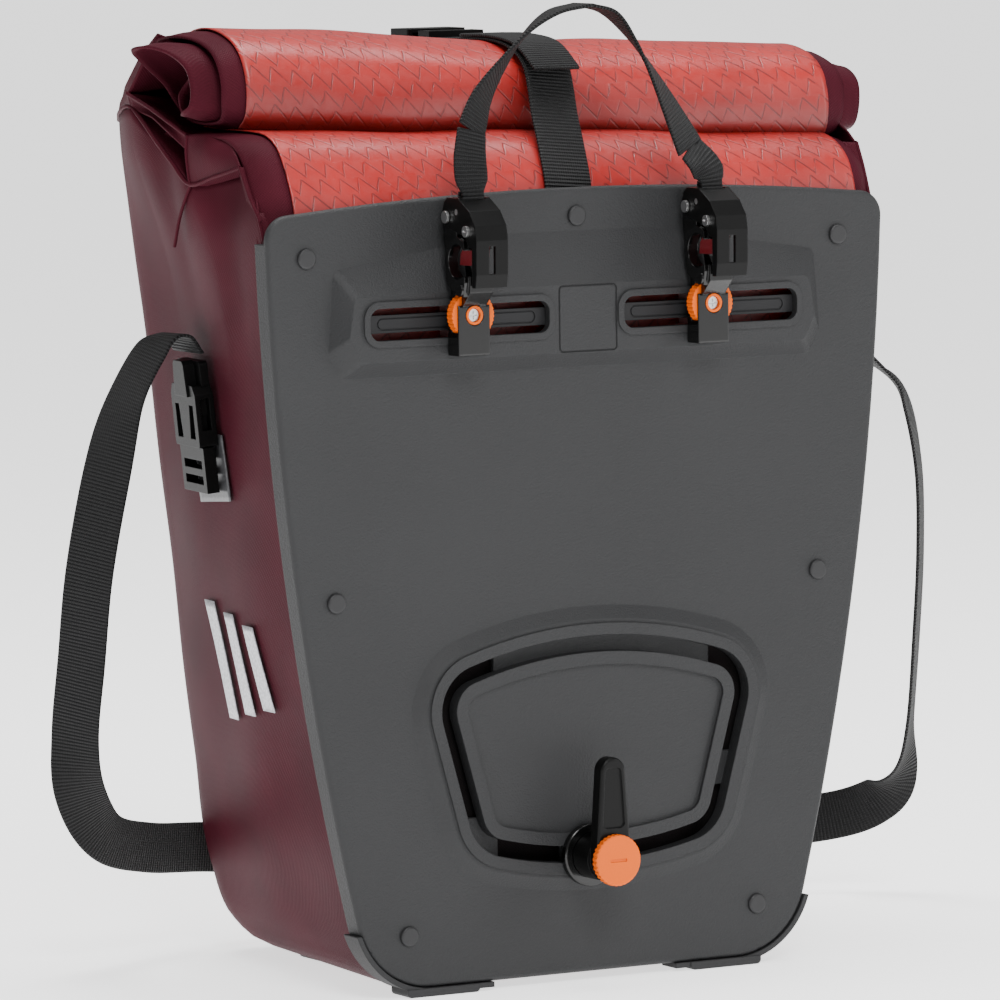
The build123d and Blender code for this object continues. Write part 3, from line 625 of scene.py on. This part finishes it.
BAR_Y, BAR_Z = 112, 152  # middle of the longest reflective bar
BAR_STEP = 23
BAR_LENGTH, BAR_SHORTER = 56, 8  # the longest bar, and how much shorter each next one is
BAR_HALF_WIDTH = 6
BAR_SLOPE = 0.249
BUCKLE_PATCH = [(76, 231), (113, 228), (121, 262), (82, 262)]


def build_reflectors(body):
    """Three slanted bars and the patch behind the buckle, on both gussets."""
    made = {"bars": [], "patches": []}
    for side, ending in SIDE_NAME.items():
        for step in range(3):
            y, reach = BAR_Y - BAR_STEP * step, (BAR_LENGTH - BAR_SHORTER * step) / 2
            lean = BAR_SLOPE * reach
            near, far = y - BAR_HALF_WIDTH, y + BAR_HALF_WIDTH
            low = [(near - lean, BAR_Z - reach), (far - lean, BAR_Z - reach)]
            high = [(far + lean, BAR_Z + reach), (near + lean, BAR_Z + reach)]
            bar = wall_patch(f"bar_{step + 1}" + ending, body, side, low + high, "reflective")
            made["bars"].append(bar)
        patch = wall_patch("buckle_patch" + ending, body, side, BUCKLE_PATCH, "patch_print")
        made["patches"].append(patch)
    return made


# ---------------------------------------------------------------- what shows through the plate
# X of the plate's two edges by height.
PLATE_LEFT = [(30, -120), (60, -128), (120, -141), (190, -151), (290, -160), (368, -165)]
PLATE_RIGHT = [(30, 121), (60, 130), (120, 143.5), (190, 154.6), (290, 164.5), (368, 170)]
PLATE_MARGIN = 8.5
LAYER_Y = 7.0


def layer_rows(low, high, size=40):
    """A nearly flat sheet just behind the plate, between two heights."""
    rows = []
    for z in np.linspace(low, high, size + 1):
        left = float(curve_at(z, PLATE_LEFT)) + PLATE_MARGIN
        right = float(curve_at(z, PLATE_RIGHT)) - PLATE_MARGIN
        x = np.linspace(left, right, size * 2 + 1)
        y = LAYER_Y + 0.25 * np.sin(x / 17.0 + z / 29.0)
        rows.append(np.stack([x, y, np.full_like(x, z)], axis=1))
    return np.array(rows)


def build_layers():
    """The red front panel behind the plate, and the black sheet behind its lower track."""
    red = grid_object("panel_red", layer_rows(178, 364), "red_coated", thick=0.8, offset=1.0)
    black = grid_object("panel_black", layer_rows(26, 177.5), "board_fabric", thick=0.8, offset=1.0)
    return [red, black]


# ---------------------------------------------------------------- rear sheet, roll and front flap
# Y and Z of the sheet in the middle of the bag, the roll's share in its tilt, and its reach left and right.
SHEET = [
    (189.4, 372, 0.0, -122, 128), (189.4, 386, 0.0, -127, 133), (187.5, 397, 0.05, -134, 142),
    (182, 405.5, 0.12, -143, 152), (172, 411, 0.25, -150, 160), (144.5, 421, 0.6, -157, 169),
    (122, 430.5, 0.85, -162, 173), (108, 437.6, 1.0, -164, 175), (97, 442.4, 1.0, -165, 176),
    (84, 444.2, 1.0, -163, 175), (70, 442.8, 1.0, -160, 173), (57.6, 439, 1.0, -159, 173),
    (50, 434, 1.0, -159, 173), (45.5, 428, 1.0, -159, 173), (42.8, 420, 1.0, -159, 172),
    (42.6, 412, 1.0, -159, 171), (44.5, 405, 1.0, -158, 169), (50, 400, 1.0, -157, 167),
    (60, 398, 1.0, -156, 166), (74, 398, 1.0, -156, 166), (88, 401, 1.0, -156, 168),
    (98, 409, 1.0, -157, 170), (101, 419, 1.0, -162, 174), (97, 429, 1.0, -174, 182),
    (89, 436, 1.0, -183, 187), (76, 438.2, 1.0, -181, 188), (64.5, 435.5, 1.0, -175, 188),
    (55, 428.5, 1.0, -171, 187), (51, 417, 1.0, -170, 185), (52, 407, 1.0, -171, 183),
    (60, 402.6, 1.0, -172, 182), (72, 402.4, 1.0, -165, 177), (82, 406, 1.0, -162, 175),
    (86, 414, 1.0, -161, 175), (83, 422, 1.0, -158, 175), (75, 426, 1.0, -159, 175),
    (66, 424, 1.0, -159, 175), (60.5, 417, 1.0, -159, 175), (62, 409.5, 1.0, -159, 175),
    (69, 407.5, 1.0, -159, 175), (76, 411, 1.0, -159, 175),
]
OUTER_POINTS = 18  # how many points of the sheet its red face covers
# Y and Z of the front flap in the middle of the bag.
FLAP = [
    (6.2, 352), (6.4, 360), (8.2, 369), (11.5, 378), (17, 387), (24.5, 394.5), (34, 398.6), (45, 400),
    (60, 400.4), (80, 400.6), (96, 401),
]
SHEET_STEPS = 5
TILT_FORWARD, TILT_DOWN = 0.055, 0.0507  # how the roll leans for each millimetre to the right
# X of the red face's two edges at a few points of the sheet.
RED_POINTS = [0, 2, 4, 6, 7, 60]
RED_LEFT = [-119, -127, -136, -145, -148, -148]
RED_RIGHT = [125, 134, 146, 158, 161, 161]


def sheet_rows(path, grow=0.0, left=None, right=None, columns=120):
    """The long sheet that rises behind the bag and winds into the roll. grow lifts it off the layer below."""
    p = smooth_path(path, SHEET_STEPS)
    tangent = unit_rows(np.gradient(p[:, :2], axis=0))
    outward = np.stack([tangent[:, 1], -tangent[:, 0]], axis=1)
    rows = []
    for i, row in enumerate(p):
        low = row[3] if left is None else left[i]
        high = row[4] if right is None else right[i]
        x = low + (high - low) * np.linspace(0, 1, columns + 1)
        share = row[2]
        edge = np.minimum(x - row[3], row[4] - x)
        inward = 2.2 * share * smoothstep((16 - edge) / 16) ** 2
        wave = 0.7 * share * np.sin(x / 23.0 + i * 0.13) + 0.4 * np.sin(x / 11.0 - i * 0.21) * share
        sag = -2.6 * share * np.exp(-(((x - 6) / 46.0) ** 2)) * smoothstep((row[1] - 428) / 12)
        off = grow - inward + wave * 0.6
        y = row[0] + outward[i, 0] * off - TILT_FORWARD * (x - ROLL_MIDDLE) * share
        z = row[1] + outward[i, 1] * off - TILT_DOWN * (x - ROLL_MIDDLE) * share + sag
        rows.append(np.stack([x, y, z], axis=1))
    return np.array(rows)


def flap_rows(grow=0.0, left=-1.7, right=1.7, columns=120):
    """The front flap from left to right, where -1 and 1 are the bag's front corners.

    Past the corners it turns round them and tucks in behind the gusset's fold.
    """
    p = smooth_path(FLAP, SHEET_STEPS)
    tangent = unit_rows(np.gradient(p, axis=0))
    outward = np.stack([-tangent[:, 1], tangent[:, 0]], axis=1)
    k = np.linspace(left, right, columns + 1)
    over = np.clip(np.abs(k) - 1, 0, 0.7) / 0.4
    turn = np.clip(over, 0, 1)
    tuck = np.clip(over - 1, 0, 1)
    corner = np.where(k < 0, -146.0, 159.0)
    reach = np.where(k < 0, 16.0, 14.0)
    rounded = corner + np.sign(k) * (reach * turn - 3.0 * tuck)
    x = np.where(np.abs(k) <= 1, ROLL_MIDDLE + k * 152.5, rounded)
    rows = []
    for i, (y0, z0) in enumerate(p):
        rise = smoothstep((z0 - 360) / 36)
        back = 9.0 * turn**2 + 13.0 * tuck
        drop = (2.0 * turn**2 + 3.0 * tuck) * rise
        tilt = -0.030 * (x - ROLL_MIDDLE) * smoothstep((z0 - 380) / 20)
        wave = 0.7 * np.sin(x / 31.0 + 1.0) + 0.35 * np.sin(x / 12.0 + i * 0.1)
        wave = wave * smoothstep((z0 - 366) / 20)
        y = y0 + outward[i, 0] * (grow + wave) + back
        z = z0 + outward[i, 1] * (grow + wave) + tilt - drop
        rows.append(np.stack([x, y, z], axis=1))
    return np.array(rows)


def rear_panel_rows(body):
    """The red rear panel, laid on the rear wall from near the bottom to where the sheet leaves it."""
    rows = []
    rear = body[:, GUSSET_COLUMNS : GUSSET_COLUMNS + REAR_COLUMNS + 1]
    for z in np.linspace(14, 371, 80):
        half = float(curve_at(z, REAR_HALF)) - 19
        shift = 0.6 * (3.0 + 3.0 * float(smoothstep((z - 160) / 240))) if z >= 160 else 0
        x = np.linspace(-half, half + shift, 121)
        depth = np.array([np.interp(z, line[:, 2], line[:, 1]) for line in rear.swapaxes(0, 1)])
        where = np.array([np.interp(z, line[:, 2], line[:, 0]) for line in rear.swapaxes(0, 1)])
        y = np.interp(x, where, depth) + 0.7
        rows.append(np.stack([x, y, np.full_like(x, z)], axis=1))
    return np.array(rows)


def turn_pattern(piece):
    """Runs the sheet's pattern the other way up."""
    layer = piece.data.uv_layers[0]
    uvs = np.zeros(len(layer.data) * 2)
    layer.data.foreach_get("uv", uvs)
    uvs[1::2] *= -1
    layer.data.foreach_set("uv", uvs)


def build_roll(body):
    """The wound sheet, its red outer face, and the front flap."""
    wound = grid_object("roll_sheet", sheet_rows(SHEET), "wine_fabric", thick=1.3, offset=1.0)
    steps = np.arange((OUTER_POINTS - 1) * SHEET_STEPS + 1)
    left, right = (np.interp(steps, np.array(RED_POINTS) * SHEET_STEPS, x) for x in (RED_LEFT, RED_RIGHT))
    top = sheet_rows(SHEET[:OUTER_POINTS], 0.9, left, right)
    red = grid_object("red_outer", np.concatenate([rear_panel_rows(body), top[1:]]), "red_coated", thick=0.8)
    flap = grid_object("front_flap", flap_rows(), "wine_fabric", thick=1.2)
    front = grid_object("front_red", flap_rows(0.9, -1.02, 1.01), "red_coated", thick=0.8, offset=1.0)
    turn_pattern(front)
    return wound, red, flap, front


# ---------------------------------------------------------------- folded gusset ends
def patch_rows(bottom, top, left, right, bulge=0.0, size=24):
    """A smooth patch between four edges, each a short list of points, pushed out by bulge."""
    k = np.linspace(0, 1, size + 1)

    def along(points):
        points = np.array(points, float)
        share = lengths_along(points)
        share /= share[-1]
        return np.stack([np.interp(k, share, points[:, a]) for a in range(3)], axis=1)

    low, high, near, far = along(bottom), along(top), along(left), along(right)
    u, v = k[None, :, None], k[:, None, None]
    rows = (1 - v) * low[None] + v * high[None] + (1 - u) * near[:, None] + u * far[:, None]
    rows -= (1 - u) * (1 - v) * low[0] + u * (1 - v) * low[-1] + (1 - u) * v * high[0] + u * v * high[-1]
    normal = np.cross(low[-1] - low[0], high[size // 2] - low[size // 2])
    normal /= np.linalg.norm(normal)
    swell = np.sin(math.pi * k)[None, :] * np.sin(math.pi * k)[:, None]
    return rows + normal[None, None] * (bulge * swell)[:, :, None]


RIGHT_FORWARD, RIGHT_DOWN = 18.5, 17.2  # how the roll's right end lies against its left one


def over_to_right(points):
    """Left-hand points on the right-hand end, where the tilted roll sits lower and further forward."""
    out = np.array(points, float)
    share = smoothstep((out[..., 2] - 400) / 46)
    out[..., 0] = RIGHT_SHIFT - out[..., 0]
    out[..., 1] -= RIGHT_FORWARD * share
    out[..., 2] -= RIGHT_DOWN * share
    return out


def end_patches():
    """The facets of the left gusset's folded top, as rows of points."""
    dip, front = (-166, 73.3, 381.3), (-163.5, 27.3, 390.6)
    rear, back = (-166, 131, 415), (-148.5, 180, 407.5)
    fold_foot, fold_top, flap_tip = (-164.4, 79, 397.2), (-164, 79, 404), (-158, 53, 404)
    roll_foot, roll_side, roll_top = (-167, 133.5, 422), (-166, 120, 437), (-165, 106, 451)
    slit_end, slit_roof = (-142, 96, 396), (-164, 130, 414.6)
    web_foot, web_inner, web_top = (-161.4, 12.8, 366), (-146, 18, 366), (-146, 34, 392)
    lip_rear, lip_front = (-161.2, 72, 380), (-157.5, 29, 388)
    sheet_corner, cavity_rear, cavity_front = (-151, 174, 412), (-138, 130, 418), (-138, 80, 401)
    inner_foot, inner_top = (-138, 128, 425), (-138, 102, 440)
    under_rear, under_front = (-138, 78, 402), (-138, 50, 401)
    flap_side = [fold_top, (-162, 64, 404.6), flap_tip]
    flap_edge = [front, (-162.5, 33, 396), (-160.5, 42, 401.2), flap_tip]
    lip_under = [lip_rear, (-160, 50, 383.6), lip_front]
    lip_edge = [dip, (-165.4, 50, 385.6), front]
    web_edge = [web_foot, (-163.2, 20, 378), front]
    fold_line = [fold_foot, (-166.3, 94, 404.8), (-166.5, 110, 411.5), rear]
    ridge_line = [fold_top, (-166, 94, 409.8), (-167, 112, 416.2), roll_foot]
    slit_line = [dip, (-166, 90, 391.2), (-166, 104, 399.5), rear]
    slit_floor = [slit_end, (-142, 112, 405), rear]
    slit_ceiling = [slit_end, (-142, 108, 405), slit_roof]
    rear_edge = [back, (-160, 156, 412.6), rear]
    sheet_edge = [sheet_corner, (-161, 148, 423), roll_foot]
    cavity_back = [cavity_rear, (-138, 104, 408), cavity_front]
    roll_edge = [roll_foot, roll_side, roll_top]
    roll_back = [inner_foot, (-138, 116, 434), inner_top]
    close_line = [sheet_corner, (-161, 148, 425), (-164, 126, 440), roll_top]
    close_edge = [(-160, 152, 419), *roll_edge]
    under_back = [under_rear, (-138, 60, 401), under_front]
    # Where two edges of a facet meet in one point, its third edge is a very short one at that point.
    rear_tip = [rear, rear, (-166, 131, 415.2)]
    slit_tip = [slit_end, slit_end, (-142, 96, 396.4)]
    roll_tip = [roll_top, roll_top, (-165, 106.2, 450.8)]
    # Each facet has its bottom, top, left and right edge, and how far it swells.
    facets = {
        "front_lip": (lip_under, lip_edge, [lip_rear, dip], [lip_front, front], 0.0),
        "corner_web": ([web_foot, web_inner], [front, web_top], web_edge, [web_inner, web_top], 0.0),
        "front_facet": ([dip, front], flap_side, [dip, fold_foot, fold_top], flap_edge, 2.6),
        "ridge": (fold_line, ridge_line, [fold_foot, fold_top], [rear, roll_foot], 3.0),
        "slit": (slit_line, slit_floor, [dip, slit_end], rear_tip, -1.0),
        "slit_upper": (fold_line, slit_ceiling, [fold_foot, slit_end], [rear, slit_roof], 0.0),
        "slit_side": ([dip, slit_end], [fold_foot, slit_end], [dip, fold_foot], slit_tip, 0.0),
        "rear_facet": (rear_edge, sheet_edge, [back, sheet_corner], [rear, roll_foot], 0.8),
        "cavity": (ridge_line[::-1], cavity_back, [roll_foot, cavity_rear], [fold_top, cavity_front], -2.0),
        "rear_inner": (roll_edge, roll_back, [roll_foot, inner_foot], [roll_top, inner_top], 1.5),
        "rear_close": (close_line, close_edge, [sheet_corner, close_edge[0]], roll_tip, 0.5),
        "under_flap": (flap_side, under_back, [fold_top, under_rear], [flap_tip, under_front], 1.2),
    }
    return {name: patch_rows(*edges) for name, edges in facets.items()}


# The doubled edges of a gusset's folded top, soft beads that catch the light, each with its radius.
HEMS = {
    "gusset_hem": (1.1, [
        (-163.5, 27.3, 390.6), (-165.2, 50, 385.6), (-166.3, 73.3, 381.3), (-166.9, 90, 391),
        (-166.8, 104.8, 399.8), (-166.2, 131, 415), (-160, 156, 412.6), (-148.5, 180, 407.5),
    ]),
    "ridge_hem": (1.0, [(-164.4, 79, 404), (-166.2, 94, 409.8), (-167.2, 112, 416.2), (-167.4, 133.5, 422)]),
    "corner_hem": (0.9, [(-161.4, 12.6, 366), (-163.2, 20, 378), (-163.8, 27.3, 390.8)]),
    "crease_fold": (0.9, [(-166, 73.3, 381), (-165.6, 80, 373.5), (-164.2, 89, 363.5), (-161.6, 99, 351)]),
    "fold_hem": (0.9, [(-166.2, 73.3, 381.5), (-165.4, 77, 390), (-164.8, 79.2, 397.2), (-164.2, 79, 404)]),
}


def build_ends():
    pieces = []
    for side, ending in SIDE_NAME.items():
        for name, rows in end_patches().items():
            rows = rows if side < 0 else over_to_right(rows)[:, ::-1]
            pieces.append(grid_object(name + ending, rows, "wine_fabric", thick=0.8, offset=0.0))
        for name, (radius, line) in HEMS.items():
            line = line if side < 0 else over_to_right(line)
            pieces.append(tube(name + ending, line, radius, "wine_fabric"))
    return pieces


# ---------------------------------------------------------------- straps
LEFT_LATCH, RIGHT_LATCH = -67.0, 62.4  # X of the two pins that the handle hangs on
STRAP_X = 7


def shoulder_route(side):
    """From the top of a side buckle, out and down beside the bag, and round behind it to the adjuster."""
    if side < 0:
        points = [(-154, 101, 301), (-161, 100, 309), (-173, 100, 304), (-187, 103, 279), (-195, 108, 244)]
        points += [(-200, 118, 197), (-199, 130, 154), (-197, 142, 117), (-190, 152, 88), (-170, 166, 64)]
        points += [(-138, 184, 54), (-98, 203, 49), (-50, 212, 44), (12, 214, 42)]
        across = [(0.1, -1, 0)] * 2 + [(0.4, -1, 0.2)] * 2 + [(0.8, -1, 0)] * 4
        across += [(0.7, -0.6, 0.5), (0.2, -0.3, 1), (0, -0.1, 1)] + [(0, 0, 1)] * 3
    else:
        points = [(155, 101, 300.6), (166, 99, 309), (192, 96, 301), (224, 95, 278), (244, 98, 260)]
        points += [(255, 102, 225), (261, 110, 182), (266, 122, 138), (272, 138, 92), (276, 154, 62)]
        points += [(270, 172, 46), (250, 190, 38), (205, 203, 36), (150, 210, 38), (80, 213, 40)]
        points.append((12.6, 214, 42))
        across = [(0, -1, 0)] * 3 + [(-0.3, -1, 0)] + [(-0.8, -1, 0)] * 5
        across += [(-0.7, -0.6, 0.5), (-0.2, -0.2, 1)] + [(0, 0, 1)] * 5
    return points, across


def handle_route():
    """The carry handle from above the left latch, over the crown, to above the right latch."""
    points = [(-64.5, -15, 406), (-57.5, -13, 420.5), (-46, -12, 435.5), (-32.5, -12, 450), (-18, -12, 459.4)]
    points += [(-2, -12, 462.6), (12, -12, 458.6), (24.5, -12, 445.5), (35, -12.5, 429.5), (44, -14, 412.5)]
    points.append((53, -16, 394))
    turns = [22, 32, 46, 62, 78, 90, 84, 68, 52, 36, 20]
    across = [(math.cos(math.radians(t)), math.sin(math.radians(t)), 0) for t in turns]
    return points, across


def foot_route(x, above, end, turn):
    """Tapered webbing folded round a latch's pin at x, then up through two points above it to the handle."""
    points = [(x, -16.6, 378), (x, -16.5, 371.5), (x, -16.4, 367.6), (x, -18.4, 366.2), (x, -20.4, 367.8)]
    points += [(x, -20.2, 372), (x, -19.6, 377.5), *above, end]
    across = [(1, 0, 0)] * 8 + [(0.97, 0.24, 0), turn]
    narrow = [0.58] * 7 + [0.86, 1.0, 1.0]
    return points, across, HANDLE_WIDTH, narrow


def flat_ribbon(name, points):
    """A strap that lies level across the bag. Its points give X, Y and Z, or only Y and Z, at STRAP_X."""
    points = [p if len(p) == 3 else (STRAP_X, *p) for p in points]
    return ribbon(name, points, [(1, 0, 0)] * len(points), CLOSURE_WIDTH)


def build_straps():
    made = {}
    for side, ending in SIDE_NAME.items():
        route, across = shoulder_route(side)
        made["shoulder" + ending] = ribbon("shoulder_webbing" + ending, route, across, SHOULDER_WIDTH)
    route, across = handle_route()
    crown = 5
    made["handle_left"] = ribbon("handle_webbing_left", route[: crown + 1], across[: crown + 1], HANDLE_WIDTH)
    made["handle_right"] = ribbon("handle_webbing_right", route[crown:], across[crown:], HANDLE_WIDTH)
    above_left = [(LEFT_LATCH, -18.6, 383.5), (-66.4, -16.6, 394)]
    above_right = [(61.6, -18.6, 382.2), (58.6, -17.5, 387.4)]
    left_foot = foot_route(LEFT_LATCH, above_left, route[0], across[0])
    right_foot = foot_route(RIGHT_LATCH, above_right, route[-1], across[-1])
    made["foot_left"] = ribbon("handle_foot_left", *left_foot)
    made["foot_right"] = ribbon("handle_foot_right", *right_foot)
    closure = [(-1, 4.6, 367), (0, 8, 380), (2, 17.5, 397), (3.6, 25.6, 410), (5.4, 32, 422), (6.6, 38, 432)]
    closure += [(46.5, 438.6), (58, 442.6), (74, 444.4), (98, 444.2), (112, 443.7), (124, 443.4)]
    tab = [(28.5, 431.4), (34, 435.2), (41, 439.7), (49, 443.2), (60, 445.2), (78, 446.3), (100, 446.0)]
    rear = [(164.4, 443.4), (171, 436), (178, 426), (185.4, 415)]
    rear += [(190.8, 401), (193.2, 386), (194, 368), (194.5, 350)]
    made["closure"] = flat_ribbon("closure_webbing", closure)
    made["tab"] = flat_ribbon("closure_tab_webbing", tab)
    made["rear"] = flat_ribbon("rear_webbing", rear)
    return made


# ---------------------------------------------------------------- the CAD pieces' looks
SOFTENED = (
    "latch_cover", "hook_base", "buckle_", "closure_prongs", "closure_socket", "lower_", "corner_guard",
)


def soften(piece, width=0.00035):
    """Small rounded edges on a moulded part."""
    edge = piece.modifiers.new("soft_edges", "BEVEL")
    edge.width = width
    edge.segments = 2
    edge.limit_method = "ANGLE"
    edge.angle_limit = math.radians(38)


def dress_cad():
    slots = {p["node"]: p["material_slot"] for p in frame["record"]["subparts"]}
    for node, piece in frame["nodes"].items():
        piece.data.materials.clear()
        piece.data.materials.append(MATERIALS[slots[node]])
        if node.startswith(SOFTENED):
            soften(piece)


# ---------------------------------------------------------------- bodies
def join_bag():
    """Sheets that ride on the bag's own body, and the CAD pieces that they stand for."""
    bars, patches = reflectors["bars"], reflectors["patches"]
    for piece in shell_pieces + layers + [wound, red, flap, front] + ends + bars + patches:
        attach(piece, "bag")
    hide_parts("bag_shell")
    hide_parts("top_roll", "roll_end_left", "roll_end_right", "top_fabric")
    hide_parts("front_panel")
    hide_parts("side_reflectors")
    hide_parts("reflector_patch_left")
    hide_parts("reflector_patch_right")


def spot(x, y, z):
    return Vector(at([x, y, z]))


def join_straps():
    """Straps that ride on the bag, the others baked where they lie, and the CAD pieces that they stand for."""
    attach(straps["tab"], "bag")
    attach(straps["rear"], "bag")
    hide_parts("closure_tab")
    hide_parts("rear_strap")
    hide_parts("closure_strap")
    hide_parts("shoulder_strap_left")
    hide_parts("shoulder_strap_right")
    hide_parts("handle_strap_left")
    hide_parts("handle_strap_right")
    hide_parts("handle_end_left")
    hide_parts("handle_end_right")
    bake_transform(straps["closure"], "bag", "closure_half", spot(7, 45, 438), spot(7, 118, 448))
    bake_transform(straps["shoulder_left"], "bag", "strap_end_left", spot(-195, 108, 244), spot(-161, 100, 306))
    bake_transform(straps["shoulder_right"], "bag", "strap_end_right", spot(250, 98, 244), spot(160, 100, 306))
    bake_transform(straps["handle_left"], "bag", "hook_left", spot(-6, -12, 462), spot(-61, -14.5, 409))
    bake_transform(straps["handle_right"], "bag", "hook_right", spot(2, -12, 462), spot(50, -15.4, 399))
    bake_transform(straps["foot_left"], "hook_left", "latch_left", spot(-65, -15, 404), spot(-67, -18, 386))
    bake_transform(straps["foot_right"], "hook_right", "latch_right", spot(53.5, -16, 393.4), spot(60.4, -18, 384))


def declare_sheets():
    """Groups the panels as stretched or folded, in a table that nothing reads."""
    prints = reflectors["bars"] + reflectors["patches"]
    held = {piece: "stretched" for piece in shell_pieces + layers}
    held.update({piece: "folded" for piece in (wound, red, flap, front)})
    held.update({piece: "stretched" for piece in prints})


# ---------------------------------------------------------------- the whole picture
MATERIALS = make_materials()
place_camera()
light_scene()
floor()
dress_cad()

body = body_rows()
shell_pieces = build_shell(body)
layers = build_layers()
wound, red, flap, front = build_roll(body)
ends = build_ends()
straps = build_straps()
reflectors = build_reflectors(body)
join_bag()
join_straps()
declare_sheets()
